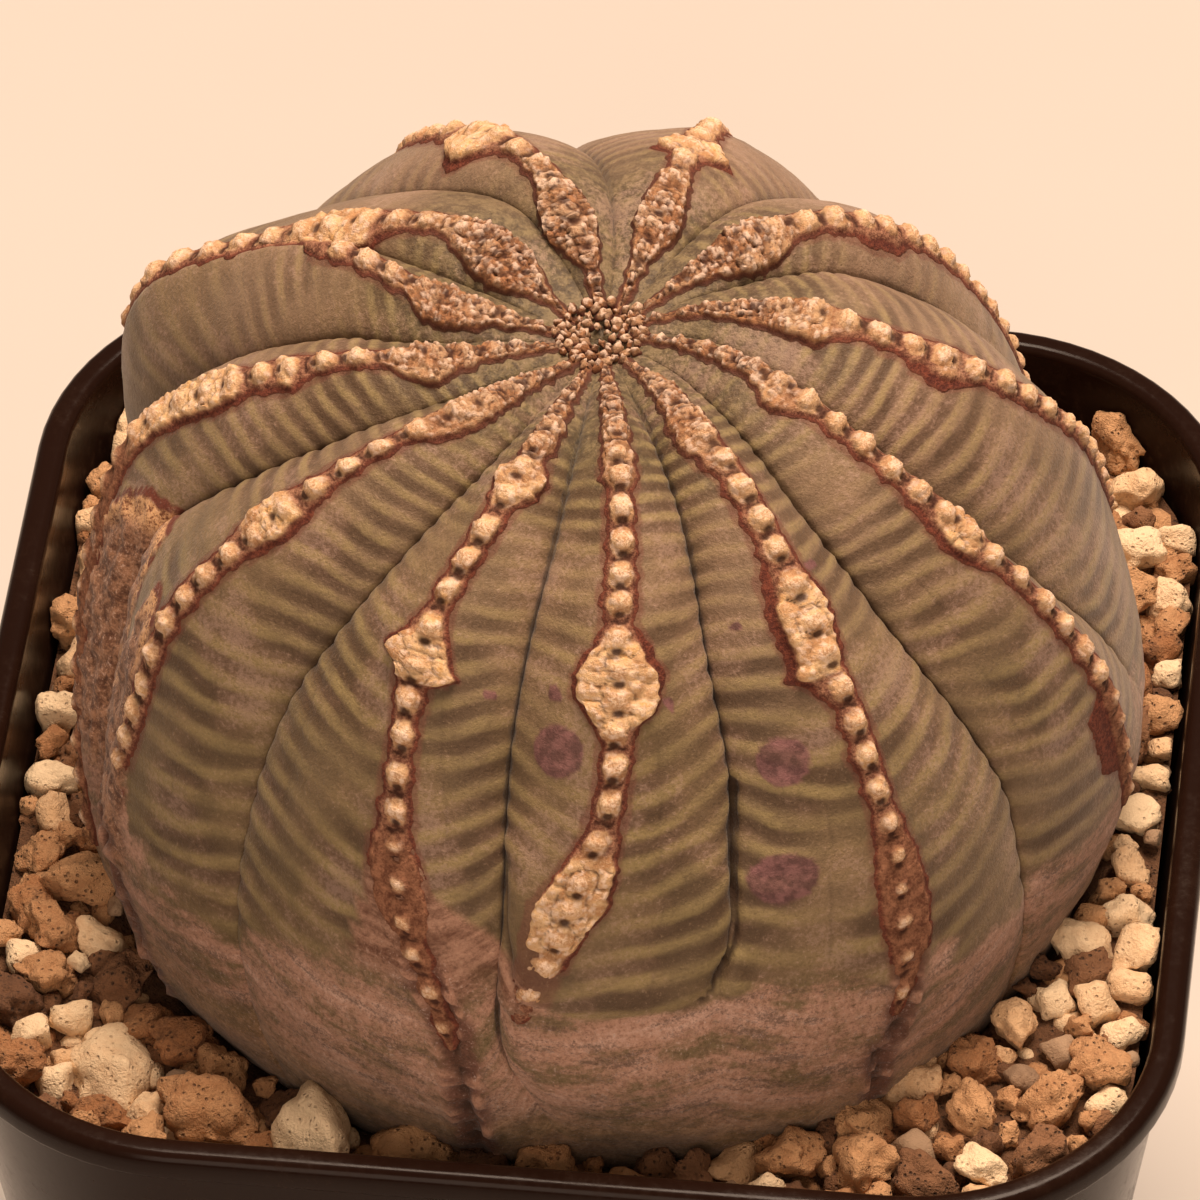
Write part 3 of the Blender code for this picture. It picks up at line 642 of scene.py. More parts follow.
# %% The sheet of the skin
MEAN_RADIUS = 38.0  # makes millimetres of directions, for the patterns
SKIN_ROW, SKIN_ROWS = 0.54, 160  # millimetres from row to row, and how many rows; the root has fewer
ROOT_ROWS = 12
STEPS_A_RIB = 48
CROWDING = 1.35  # over 1, the columns lie closer together towards the grooves

row_down = np.concatenate([
    np.arange(SKIN_ROWS) * SKIN_ROW,
    np.linspace(SKIN_ROWS * SKIN_ROW, OUTLINE_LENGTH, ROOT_ROWS + 1)])
step = np.arange(STEPS_A_RIB) / (STEPS_A_RIB / 2) - 1.0
rib_across = np.sign(step) * (1.0 - (1.0 - np.abs(step)) ** CROWDING)
down, across = np.meshgrid(row_down, rib_across, indexing="ij")


def skin_of(rib):
    """One rib's skin: points, directions, flanks' widths, grooves' depth and sharpness, way from cork."""
    here, _ = crest(rib, down)
    edges = zip(groove(rib - 1, down), groove(rib, down))
    edge, _, depth = (np.where(across > 0, after, before) for before, after in edges)
    width = np.radians(np.abs(edge - here)) * np.maximum(outline_at(down, 0.0)[0], 0.5)
    sharpness = np.where(across > 0, GROOVE_SHARPNESS[rib], GROOVE_SHARPNESS[rib - 1])
    points, direction = skin_point(rib, across, down, 0.0), here + (edge - here) * np.abs(across)
    return points, direction, width, depth, sharpness, beyond_seam(rib, across * width, down)


sheet, direction, flank, groove_depth, sharpness, beyond = (
    np.concatenate(parts, axis=1) for parts in zip(*(skin_of(rib) for rib in range(RIB_COUNT))))
down, across = np.tile(down, (1, RIB_COUNT)), np.tile(across, (1, RIB_COUNT))
share = np.abs(across)
print("skin sheet", sheet.shape, "from", round(direction.min()), "to", round(direction.max()), "degrees")

# %% Bands across the ribs, bark low down
slow, quick_noise, fine_noise = grain(sheet, 9.0, 1), grain(sheet, 3.2, 2), grain(sheet, 1.2, 3)
above_ground = soft_step(down, 86.0, 80.0)
calm = soft_step(beyond, -0.1, 0.9)
left_wedges = within(direction, 170.0, 212.0, 6.0)
under_lobe = within(direction, 255.0, 288.0, 4.0)
sharper = np.maximum(left_wedges, under_lobe)
bark_line = all_round(BARK_FROM, direction) + (1.0 - 0.85 * sharper) * (2.2 * quick_noise + fine_noise)
bark = soft_step(down, bark_line - 2.0 + 1.4 * sharper, bark_line + 2.6 - 1.6 * sharper)
past_fibre = down - all_round(FIBRE_FROM, direction) + 0.5 * fine_noise
fibre = soft_step(past_fibre, -0.25, 0.25) * soft_step(down + 3.0 * quick_noise, 66.0, 58.0)
fibre_edge = fade(past_fibre, 0.4) * soft_step(down, 62.0, 56.0)
brown_line = all_round(BROWN_FROM_RIB_8, direction)
brown = soft_step(down, brown_line - 0.3, brown_line + 0.4) * soft_step(down + 2 * quick_noise, 57.5, 54.0)

# The bands' pitch grows from 1.4 mm near the crown to 2.6 mm at the widest place
FIRST_PITCH, PITCH_GROWTH = 1.2, 0.027
sag = 0.5 + 2.2 * soft_step(down, 22.0, 50.0)
lowered = np.maximum(down - sag * (1.0 - share**2), 0.0)
phase = np.log(FIRST_PITCH + PITCH_GROWTH * lowered) / PITCH_GROWTH + 0.5 * slow + 0.2 * quick_noise
turned_away = 0.5 + 0.5 * np.sin(np.radians(direction))
patchy = np.clip(0.75 + 1.1 * grain(sheet, 6.0, 4) - 0.9 * turned_away * (0.3 + quick_noise), 0.15, 1.0)
banded = soft_step(down, 5.0, 12.0) * (1.0 - bark) * (1.0 - brown) * patchy
banded *= 1.0 - 0.45 * soft_step(turned_away, 0.3, 0.8)
ridge = np.abs(np.sin(math.pi * phase))
band_depth = 0.03 + 0.15 * soft_step(share, 0.2, 0.8) + 0.10 * soft_step(share, 0.8, 1.0)
band_height = (ridge - 0.6) * banded * band_depth
print(f"bands up to {band_depth.max():.2f} mm deep")

# %% Lines, cracks and scars
from_groove = (1.0 - share) * flank
# A dent along each groove's bottom, also drawn in the finish as a thin line of painted shade
groove_line = fade(from_groove, 0.12) * soft_step(groove_depth, 0.3, 1.6) * sharpness
groove_line *= 0.35 + 0.65 * soft_step(down, 12.0, 34.0)
fold = to_line(direction, down, LOBE_FOLD)
fold_strength = 0.28 + 0.72 * soft_step(direction, 276.0, 281.0) + 0.3 * soft_step(direction, 262.0, 258.5)
# The fold under the lobe: a crease in the relief and a dark line of painted shadow
fold_line = fade(fold, 0.24) * fold_strength
faint = fade(np.minimum.reduce([to_line(direction, down, line) for line in FAINT_LINES]), 0.28)
crack = np.minimum.reduce([to_line(direction, down, line) for line in CRACKS])
crack_pits = soft_step(np.cos(2 * math.pi * down / 2.1 + 3 * quick_noise) + 0.8 * fine_noise, -0.2, 0.8)
# The cracks: dents in the relief, darkened with painted shade
crack_line = fade(crack + 0.5 * fine_noise, 0.62) * (0.45 + 0.55 * crack_pits)
crack_lip = fade(crack - 1.1 + 0.6 * fine_noise, 0.6) * soft_step(down, 50.0, 56.0)
crumbs = crack_lip * soft_step(fine_noise + 0.4 * grain(sheet, 0.8, 8), -0.1, 0.5)

scar = np.zeros(down.shape)
scar_height = np.zeros(down.shape)
for middle, middle_down, half_wide, half_high in SCARS:
    radius = np.maximum(outline_at(down, 0.0)[0], 0.5)
    aside = np.radians((direction - middle + 180.0) % 360.0 - 180.0) * radius
    reach = np.hypot(aside / half_wide, (down - middle_down) / half_high)
    reach = reach + 0.16 * quick_noise + 0.08 * fine_noise
    scar = np.maximum(scar, soft_step(reach, 1.2, 0.8))
    scar_height += 0.16 * fade(reach - 0.7, 0.35) * min(half_wide, 1.0)
print("bark from", round(float(bark_line.min())), "mm; folds, cracks and", len(SCARS), "scars in place")

# %% Raise the relief and drape it over a ball
lobe = within(direction, 256.5, 285.0, 2.5) * soft_step(down, 40.0, 50.0) * soft_step(down, 57.5, 56.5)
relief = calm * (0.24 * slow + 0.09 * quick_noise + 0.03 * fine_noise + band_height)
relief += bark * (0.08 * fine_noise + 0.08 * quick_noise) + 0.15 * brown * (fine_noise + 1.0) + scar_height
crumbly = grain(sheet * (1.0, 1.0, 0.45), 0.8, 6)
relief += fibre * (0.22 + 0.3 * crumbly + 0.2 * fine_noise)
relief += 0.45 * crumbs + 0.15 * crack_lip - 0.9 * crack_line - 0.10 * faint
relief += 0.45 * lobe * fade(fold - 1.6, 1.4) - 0.55 * fold_line - 0.25 * groove_line
relief *= above_ground
relief[0] = relief[1] = 0.0
sheet = sheet + outward_of(sheet, closed=True) * relief[..., None]

skin, row, column = drape(sheet)
# Dark lines of painted shade in the grooves, the fold and the cracks, and the faint lines on the flanks
painted_crease_shade = np.maximum.reduce([groove_line, fold_line, crack_line, 0.42 * faint])
halo = fade(np.maximum(beyond + 0.25 * fine_noise, 0.0), 0.32)
halo *= 0.3 + 0.7 * soft_step(down, 10.0, 24.0)
cracked = fade(crack + 0.5 * fine_noise, 1.5) * soft_step(down, 50.0, 56.0)
wedge = fibre * soft_step(past_fibre, 3.4, 1.8) * soft_step(down, 54.0, 49.0)
low_skin = soft_step(down + 1.5 * quick_noise, 66.0, 70.5)
inner = soft_step(down + 4 * quick_noise, 24.0, 10.0)
right = 0.5 + 0.5 * np.cos(np.radians(direction))
# A pale veil of painted sheen: strongest on the far side, the right and the upper part, less in the crown
painted_sheen = 0.05 + 0.45 * turned_away + 0.3 * right + 0.3 * soft_step(down, 40.0, 22.0) - 0.6 * inner + 0.25 * slow
painted_sheen = np.clip(painted_sheen, 0.0, 1.0)
marks = {
    "inner": inner, "band": phase, "banded": banded, "bark": bark, "brown": brown, "line": painted_crease_shade,
    # deep: how near the bottom of a deep groove a point is, for painted shade there
    "scar": scar, "deep": groove_depth * share**4 * (1 - bark), "halo": halo, "low": low_skin, "painted_sheen": painted_sheen,
    "fibre": fibre, "fibre_edge": fibre_edge, "wedge": wedge, "cracked": cracked, "crumbs": crumbs,
    "along": lowered, "around": np.radians(direction) * MEAN_RADIUS,
}
for name, values in marks.items():
    mark(skin, name, values[row, column])
print("skin marked with", ", ".join(marks))

# %% [markdown]
# Colours under a warm lamp
#
# The plant is lit by a warm lamp, so a colour read off the picture is the surface's own colour times the
# lamp's. One small function divides the lamp out again. The skin's finish then lays thin washes over each
# other: olive with purple-brown bands, a paler veil of painted sheen on the far side, the right and the
# top, bark low down, painted shade towards the bottoms of deep grooves, and dark lines of painted shade in
# the grooves, the fold and the cracks.

# %% Colours, and the finish of the skin
LAMP = (1.0, 0.775, 0.605)  # both lamps and the world
CAST = (1.0, 0.83, 0.66)  # the milder tint that a colour read off the picture holds


def seen(red, green, blue):
    """A surface's own colour, from the colour (0 to 255) that it shows under the warm lamp."""
    shown = [value / 255.0 for value in (red, green, blue)]
    linear = [value / 12.92 if value < 0.04045 else ((value + 0.055) / 1.055) ** 2.4 for value in shown]
    return tuple(min(value / cast, 0.95) for value, cast in zip(linear, CAST))


def skin_finish():
    """Satin olive skin with purplish bands and a pale veil of painted sheen, bark at the base, painted shade
    in its grooves, fold and cracks.
    """
    skin = Finish("plant_skin_satin", Specular_IOR_Level=0.3, Sheen_Weight=0.12, Sheen_Roughness=0.45)
    value = skin.attribute
    wave = skin.node("Math", {"operation": "SINE"}, {0: value("band") * math.pi})
    wave = skin.node("Math", {"operation": "ABSOLUTE"}, {0: wave})
    blotch, mottle, coarse = skin.clouds(0.16, 4.0), skin.clouds(0.8, 5.0, 0.7), skin.clouds(1.3, 4.0, 0.7)
    powder, speck = skin.clouds(2.6, 4.0, 0.75), skin.clouds(5.0, 2.0, 0.7)
    sheet_place = skin.node("CombineXYZ", {}, {0: value("along"), 1: value("around") * 0.22})
    streak, patches = skin.clouds(0.9, 5.0, 0.65, sheet_place), skin.clouds(0.36, 4.0, 0.6, sheet_place)
    banded, bark = value("banded"), value("bark")

    green = skin.mix(blotch.step(0.4, 0.62), seen(104, 80, 45), seen(128, 98, 58))
    crown = skin.mix((mottle * 0.7 + powder * 0.4).step(0.46, 0.64), seen(70, 54, 37), seen(126, 102, 67))
    troughs = skin.mix(blotch.step(0.42, 0.6), seen(78, 52, 31), seen(104, 72, 51))
    trough = (1.0 - wave * wave) * 0.7 + streak * 0.65 + mottle * 0.35
    ridge = wave * 0.45 + streak * 0.6 + mottle * 0.3
    halo = (value("halo") * 1.3 + powder * 0.5 - 0.4).step(0.1, 0.9)
    colour = skin.washes(
        green,
        # Painted sheen, a pale veil over the skin
        (value("painted_sheen") * (0.35 + 0.5 * powder), seen(164, 122, 95)),
        (value("inner") * 0.8, crown),
        (trough.step(0.55, 1.15) * banded * 0.85, troughs),
        (ridge.step(0.74, 1.0) * banded * 0.6, seen(162, 131, 78)),
        ((blotch + powder * 0.8).step(0.92, 1.12) * 0.35, seen(172, 132, 108)),
        # Painted shade towards the bottoms of deep grooves
        (value("deep").step(1.5, 3.4) * 0.2, seen(74, 52, 32)),
        (halo * 0.6, seen(110, 60, 42)))

    worn = patches * 0.85 + streak * 0.85 + powder * 0.4 + mottle * 0.15
    # A darker, calmer olive-brown over the bark just above the soil
    near_soil = skin.mix(mottle.step(0.4, 0.65), seen(118, 84, 50), seen(150, 112, 72))
    bark_colour = skin.washes(
        skin.mix(worn.step(0.84, 1.14), seen(120, 86, 57), seen(178, 126, 96)),
        ((patches * 0.8 + mottle * 0.5).step(0.72, 0.5) * 0.75, seen(108, 86, 50)),
        (worn.step(1.1, 1.42) * 0.85, seen(212, 162, 132)),
        ((streak * 0.7 + speck * 0.5).step(0.58, 0.74) * 0.75, seen(78, 52, 35)),
        (value("low") * 0.7, near_soil))
    brown = skin.mix((streak * 0.8 + powder * 0.3).step(0.4, 0.7), seen(104, 60, 38), seen(168, 118, 88))
    corky = skin.mix((coarse * 0.6 + speck * 0.5).step(0.42, 0.6), seen(128, 72, 42), seen(214, 154, 100))
    fibrous = skin.washes(
        skin.mix((streak * 0.5 + coarse * 0.6).step(0.44, 0.66), seen(100, 58, 36), seen(168, 114, 78)),
        ((powder * 0.6 + speck * 0.5).step(0.58, 0.74) * 0.5, seen(196, 146, 108)),
        (value("wedge"), corky))
    colour = skin.washes(
        colour,
        ((bark + powder * 0.5 - 0.25).step(0.15, 0.75), bark_colour),
        (value("brown"), brown),
        (value("fibre"), fibrous),
        ((value("fibre_edge") * 1.2 + coarse * 0.6 - 0.4).step(0.1, 0.7), seen(104, 46, 28)),
        ((value("cracked") + coarse * 0.7 - 0.4).step(0.1, 0.7) * 0.85, seen(98, 54, 38)),
        (value("crumbs").step(0.2, 0.7) * 0.8, seen(184, 128, 96)))

    grit = powder * 0.55 + speck * 0.45
    shade = skin.mix(1.0, colour, (0.52, 0.48, 0.46), "MULTIPLY")
    flecks = skin.mix(bark, seen(184, 144, 104), seen(214, 172, 146))
    scar = skin.mix(mottle.step(0.38, 0.62), seen(84, 46, 42), seen(130, 80, 72))
    colour = skin.washes(
        colour,
        (grit.step(0.5, 0.4) * (0.32 + 0.3 * bark), shade),
        (grit.step(0.54, 0.68) * (0.22 + 0.3 * bark), flecks),
        ((value("scar") + powder * 0.4 - 0.2).step(0.1, 0.7) * 0.88, scar),
        # Painted shade: dark lines in the grooves, the fold and the cracks
        (value("line").step(0.15, 0.85) * 0.8, seen(56, 34, 20)))
    height = mottle * 0.5 + speck * 0.6 + powder * 0.9 + streak * bark * 1.6
    roughness = bark * 0.2 + mottle * 0.2 + 0.42
    return skin.wear(color=colour, roughness=roughness, height=height, relief=0.11)


seat(skin, "plant_skin", "plant_body", skin_finish(), smooth=80.0)

# %% [markdown]
# The corky seams
#
# A seam is a thin crust on the crest of a rib, with a knob where each flower stood and a pit below
# every knob. Each knob is a bead on a small pad. In the wide patches the crust spreads out to both sides
# in lumps with cracks between them, like popcorn. The pits, the cracks and the gaps between the grains are
# darkened with painted shade, and the knobs, paler in themselves, and the grains' tops carry painted
# highlight. A row of separate spheres would look like beads on a string, so each seam is one sheet, fine
# enough to carry its knobs, lumps, pits and ragged edge, draped over the skin and closed underneath.

# %% Where a seam lies
SEAM_ROW = 0.17  # millimetres from row to row
SEAM_TOP, SEAM_UNDER = 30, 5  # points across its top and under it
SEAM_MARGIN = 0.45  # past the rust the edge dips into the skin
KNOB_PITCH = 2.6
KNOB_LENGTH = 1.08  # along the seam, over a knob's width
MIDDLE_RIB = 9
KNOBS_OF_MIDDLE_RIB = [3.4, 4.7, 6.2, 8.1, 10.4, 13, 15.3, 17.2, 19.6, 22, 24.3, 26.3, 28.8, 31, 33, 35.2,
                       37.6, 40.2, 43, 46, 48, 50.3, 52.6, 55]


def skin_at(direction, down, outward):
    """Points on the skin by their direction round the plant."""
    points = np.zeros((*np.shape(down), 3))
    for rib in range(RIB_COUNT):
        here, before, after = crest(rib, down)[0], groove(rib - 1, down)[0], groove(rib, down)[0]
        turned = before + (direction - before) % 360.0
        share = np.where(turned > here, (turned - here) / (after - here), (turned - here) / (here - before))
        inside = share <= 1.0
        points[inside] = skin_point(rib, np.clip(share, -1.0, 1.0), down, outward)[inside]
    return points


def knob_places(rib, start, end, draw):
    """A seam's knobs (down, aside, size, crumbs), each with crumbs (down, aside, half width, height)."""
    places = []
    place = start + draw.uniform(0.2, 0.7)
    while place < end - 0.6:
        places.append(place)
        place += KNOB_PITCH * draw.uniform(0.88, 1.12) * (0.5 + 0.5 * min(place / 15.0, 1.0))
    if rib == MIDDLE_RIB:
        places = KNOBS_OF_MIDDLE_RIB
    knobs = []
    for place in places:
        size = draw.uniform(0.94, 1.14) * (0.42 + 0.58 * min(place / 19.0, 1.0))
        if place > BROWN_FROM[rib]:
            size *= 0.86
        shift = draw.uniform(-0.14, 0.14) * size
        crumbs = []
        for number in range(6):
            angle = math.radians(60 * number + draw.uniform(-24, 24))
            far = draw.uniform(0.25, 0.8) * size
            height = draw.uniform(0.5, 0.8) * (1.0 - 0.5 * far / size) * size
            crumbs.append((place + far * math.cos(angle), shift + far * math.sin(angle),
                           draw.uniform(0.18, 0.32) * size, height))
        knobs.append((place, shift, size, crumbs))
    return knobs


# %% The relief of a seam
def seam_relief(rib, down, aside, before, after, knobs):
    """Height over the skin in millimetres, and the masks that the finish reads, at places on a seam."""
    chip, _, _ = lumps(aside + 40, down, 0.85, rib + 20)
    ragged = chip / 0.85 - 0.42
    inside = np.minimum(aside + before, after - aside) + 0.26 * ragged
    rust = np.where(aside < 0, rust_width(rib, -1, down), rust_width(rib, 1, down))
    old = soft_step(down, BROWN_FROM[rib] - 1.5, BROWN_FROM[rib] + 1.5)
    patch = soft_step(before + after, 2.6, 3.6)
    young = soft_step(down, 21.0, 11.0)

    facet_near, facet_next, facet = lumps(aside + 40, down, 0.7, rib + 60)
    facet_gap = soft_step(facet_next - facet_near, 0.14, 0.0)
    fine_near, fine_next, fine_which = lumps(aside + 40, down, 0.44, rib + 40)
    granule = np.maximum(1.0 - (fine_near / 0.33) ** 2, 0.0) * (0.3 + 0.7 * fine_which)
    gap = soft_step(fine_next - fine_near, 0.11, 0.0)

    knob, pad, slit, outline, knob_height = (np.zeros(down.shape) for _ in range(5))
    rugged = 0.14 + 0.86 * young
    for place, shift, size, crumbs in knobs:
        reach = np.hypot((down - place) / KNOB_LENGTH, aside - shift) / size + 0.3 * ragged
        higher = np.hypot(down - place + 0.12 * size, aside - shift) / size
        higher = higher + 0.42 * ragged + 0.16 * (facet - 0.5)
        bead = np.maximum(1.0 - (np.maximum(higher, 0.0) / 0.68) ** 2, 0.0) ** 0.8
        knob = np.maximum(knob, soft_step(higher, 0.7, 0.2))
        shoulder = soft_step(reach, 1.12, 0.66)
        knob_height = np.maximum(knob_height, size * (0.26 * shoulder + (0.32 + 0.2 * facet) * bead))
        pad = np.maximum(pad, soft_step(reach, 1.05, 0.85))
        for crumb_down, crumb_aside, half, height in crumbs:
            crumb_reach = np.hypot(down - crumb_down, aside - crumb_aside) / half + 0.3 * ragged
            crumb = np.sqrt(np.maximum(1.0 - np.maximum(crumb_reach, 0.0) ** 2, 0.0))
            knob_height = np.maximum(knob_height, (height * 0.7 + 0.2 * size * crumb) * (crumb > 0.0))
        outline = np.maximum(outline, fade(reach - 1.05, 0.12))
        hole = np.hypot((down - place - 0.86 * size) / 0.3, (aside - shift) / 0.42) / size
        slit = np.maximum(slit, fade(hole, 1.0))
    chain = soft_step(before + after, 3.4, 2.4)
    for (place, _, size, _), (following, _, next_size, _) in zip(knobs, knobs[1:]):
        middle = (place + size * KNOB_LENGTH + following - next_size * KNOB_LENGTH) / 2
        over_slit = fade(down - middle + 0.5 * ragged, 0.22)
        slit = np.maximum(slit, 0.75 * chain * over_slit * soft_step(np.abs(aside), 1.1 * size, 0.5 * size))
    outline *= 1.0 - pad

    near, following, which = lumps(0.5 * aside + 40, down, 1.1, rib)
    side_lump = np.sqrt(np.maximum(1.0 - (near / 0.8) ** 2, 0.0))
    crack = soft_step(following - near, 0.14, 0.02) * (0.35 + 0.65 * soft_step(which, 0.15, 0.6))
    middle_line = soft_step(np.abs(aside), 1.35, 0.6)

    crust = soft_step(inside, -0.05, 0.36)
    bare = 1.0 - np.maximum(np.maximum(0.4 * pad + 0.6 * knob, patch * (1.0 - old)), 0.8 * young)
    height = 0.05 + crust * (0.16 + 0.12 * (1.0 - bare) * (1.0 - 0.6 * old))
    petals = 0.34 * side_lump * (1.0 - 0.75 * middle_line) + 0.2 * facet * rugged
    petals += 0.1 * np.minimum(granule, 0.6) - 0.14 * crack - 0.10 * outline
    height += crust * patch * (1.0 - 0.7 * old) * petals
    height = np.maximum(height, crust * knob_height)
    height += crust * rugged * (0.34 * granule - 0.14 * facet_gap * np.maximum(pad, patch) - 0.12 * gap)
    height -= 0.30 * slit * crust
    height = np.maximum(height, 0.07 * crust)
    height = np.where(inside < -rust, 0.05 - 0.8 * soft_step(-rust - inside, 0.0, 0.42), height)

    near_beads = 0.4 + 0.6 * soft_step(np.abs(aside), 2.0, 0.9)
    # Painted shade in the cracks, in the rings round the knobs' pads, between the grains and in the pits
    crack_shade = np.maximum(crack * patch, 0.9 * outline * np.maximum(patch, 0.35)) * near_beads * (1.0 - old)
    hollow_shade = np.maximum(crack_shade, gap * rugged * (1.0 - 0.4 * knob))
    hollow_shade = np.maximum(hollow_shade, 1.2 * rugged * facet_gap * np.maximum(pad, patch * (1.0 - old)))
    # The knob and grit masks also place painted highlight on the domes and on the grains' tops
    masks = {
        "cream": crust * (1.0 - 0.8 * bare), "rust": soft_step(inside, 0.16, -0.06),
        "edge": soft_step(inside, -rust + 0.25, -rust - 0.1), "knob": knob, "grit": granule * crust,
        "pit_shade": np.maximum(slit, 0.62 * hollow_shade) * crust, "tone": 0.6 * which + 0.4 * facet, "old": old,
        "young": young,
    }
    return height, masks


# %% A seam, draped over the skin
def build_seam(rib, finish):
    draw = random.Random(100 + rib)
    start, end = CROWN_EDGE, SEAMS[rib][-1][0] + 1.0
    rows = int((end - start) / SEAM_ROW)
    row_down = np.linspace(start, end, rows + 1)
    knobs = knob_places(rib, start + 0.5, end - 0.5, draw)

    before, after = seam_reach(rib, row_down)
    knobbed = np.maximum.reduce([fade(row_down - place, 0.85) for place, *_ in knobs])
    chained = soft_step(before + after, 3.4, 2.2)
    pinch = 1.0 - 0.26 * chained * (1.0 - knobbed)
    ends = np.sqrt(np.clip((row_down - start) / 1.4, 0.0, 1.0) * np.clip((end - row_down) / 1.4, 0.0, 1.0))
    before, after = before * pinch * ends, after * pinch * ends

    share = np.linspace(0.0, 1.0, SEAM_TOP)
    low = -(before + rust_width(rib, -1, row_down) * ends + SEAM_MARGIN * ends)
    high = after + rust_width(rib, 1, row_down) * ends + SEAM_MARGIN * ends
    aside = low[:, None] + (high - low)[:, None] * share
    down = np.repeat(row_down[:, None], SEAM_TOP, axis=1)
    radius = np.maximum(outline_at(down, 0.0)[0], 1.0)
    direction = crest(rib, down)[0] + np.degrees(aside / radius)
    top = skin_at(direction, down, 0.0)
    height, masks = seam_relief(rib, down, aside, before[:, None], after[:, None], knobs)
    outward = outward_of(top, closed=False)
    top = top + outward * height[..., None]

    under_share = np.linspace(1.0, 0.0, SEAM_UNDER + 2)[1:-1]
    corners = top[:, -1:] * under_share[:, None] + top[:, :1] * (1.0 - under_share[:, None])
    under = corners - outward[:, SEAM_TOP // 2][:, None] * 0.9
    sheet = np.concatenate([top, under], axis=1)
    sheet[0], sheet[-1] = sheet[0].mean(axis=0), sheet[-1].mean(axis=0)

    seam, row, column = drape(sheet)
    for name, values in masks.items():
        hidden = np.repeat(values[:, :1], SEAM_UNDER, axis=1)
        mark(seam, name, np.concatenate([values, hidden], axis=1)[row, column])
    seat(seam, f"cork_seam_{rib + 1:02d}", "cork_crests", finish, smooth=80.0)


# %% The finish of the cork
def cork_finish():
    """Cream crust and knobs with painted highlight, mauve-brown between them, rust red at the edge, pits in
    painted shade, brown low down.
    """
    cork = Finish("cork_dry", Roughness=0.85, Specular_IOR_Level=0.25)
    value = cork.attribute
    mottle, speck = cork.clouds(1.5, 4.0, 0.7), cork.clouds(5.0, 3.0, 0.75)
    young, old, knob, tone = value("young"), value("old"), value("knob"), value("tone")
    young_crust = cork.washes(
        cork.mix(mottle.step(0.42, 0.6), seen(86, 46, 30), seen(160, 98, 58)),
        (tone.step(0.55, 0.8) * 0.6, seen(184, 140, 104)))
    old_crust = cork.mix((mottle * 0.7 + speck * 0.3).step(0.36, 0.64), seen(102, 56, 35), seen(162, 104, 70))
    crust = cork.washes(
        cork.mix((tone * 0.5 + mottle * 0.7).step(0.35, 0.85), seen(192, 132, 82), seen(232, 180, 124)),
        ((tone * 0.7 + mottle * 0.6).step(0.8, 1.0) * 0.65, seen(208, 138, 62)),
        (speck.step(0.54, 0.7) * 0.45, seen(240, 198, 150)),
        (young * 0.8, young_crust),
        # The knobs' own paler cream, brightened further as a painted highlight on their domes
        (knob * (1.0 - young * 0.55) * 0.7,
         cork.mix(speck.step(0.4, 0.6), seen(202, 144, 98), seen(244, 198, 152))),
        (speck.step(0.46, 0.32) * (0.2 + 0.5 * young), seen(122, 68, 42)),
        # Painted highlight on the tops of the grains
        ((value("grit") * 0.8 + speck * 0.5).step(0.5, 0.95) * 0.6, seen(246, 204, 168)),
        (old * (1.0 - knob * 0.85), old_crust))
    between = cork.washes(
        cork.mix((mottle * 0.5 + speck * 0.5).step(0.4, 0.62), seen(104, 56, 38), seen(172, 114, 80)),
        (young * 0.8, seen(104, 56, 36)),
        (old, old_crust))
    rust = cork.washes(
        cork.mix((speck * 0.5 + mottle * 0.5).step(0.42, 0.62), seen(82, 36, 25), seen(130, 64, 42)),
        (young * 0.7, seen(84, 46, 34)))
    colour = cork.washes(
        between,
        (value("cream").step(0.15, 0.75), crust),
        (value("rust"), rust),
        (value("edge") * (0.6 - 0.1 * young), cork.mix(young, seen(112, 62, 42), seen(100, 74, 52))),
        # Painted shade in the pits, the cracks and the gaps between grains
        (value("pit_shade").step(0.15, 0.8) * 0.9, seen(58, 26, 16)))
    return cork.wear(color=colour, height=mottle * 0.6 + speck * 0.9, relief=0.2)


# %% Twelve seams
CORK = cork_finish()
for rib in range(RIB_COUNT):
    build_seam(rib, CORK)

# %% [markdown]
# The crown
#
# All seams meet in the sunken crown, in a heap of little lumps round a dark slit. Five lumps are modelled
# from icospheres and knocked out of round. Copies of them, narrowed and stood on end, are set in a spiral
# like the one that the plant's own growing point makes: each a golden angle on from the last. Where the
# slit lies, none is set. Each lump is coloured by its height: cream with painted highlight on top, rust
# lower down, and painted shade underneath.

# %% Crown lumps
CROWN_LUMPS = 76
GOLDEN_ANGLE = 137.5
SPIRAL_STEP = 0.41
LUMP_LIFT = 0.12
SLIT_MIDDLE, SLIT_LENGTH, SLIT_WIDTH = -0.2, 1.6, 0.7


def join(copies):
    """Join copies, each with its own mesh, into one object."""
    bpy.ops.object.select_all(action="DESELECT")
    for obj in copies:
        obj.select_set(True)
    bpy.context.view_layer.objects.active = copies[0]
    bpy.ops.object.join()
    return bpy.context.active_object


def copy_of(model, scale, turn, place):
    """A copy with a mesh of its own; its scale and place in millimetres, its turns in radians."""
    copy = model.copy()
    copy.data = copy.data.copy()
    copy.scale = Vector(scale) * MM
    copy.rotation_euler = turn
    copy.location = Vector(place) * MM
    bpy.context.scene.collection.objects.link(copy)
    return copy


def discard(models):
    for model in models:
        bpy.data.objects.remove(model, do_unlink=True)


def lump_of(subdivisions, roughness, seed):
    """An icosphere with a radius of 1, knocked out of round."""
    obj = add(bpy.ops.mesh.primitive_ico_sphere_add, subdivisions=subdivisions, radius=1.0)
    points = vertices_of(obj)
    swell = roughness * (grain(points, 0.9, seed) + 0.4 * grain(points, 0.4, seed))
    move_vertices(obj, points * (1.0 + swell[:, None]))
    return obj


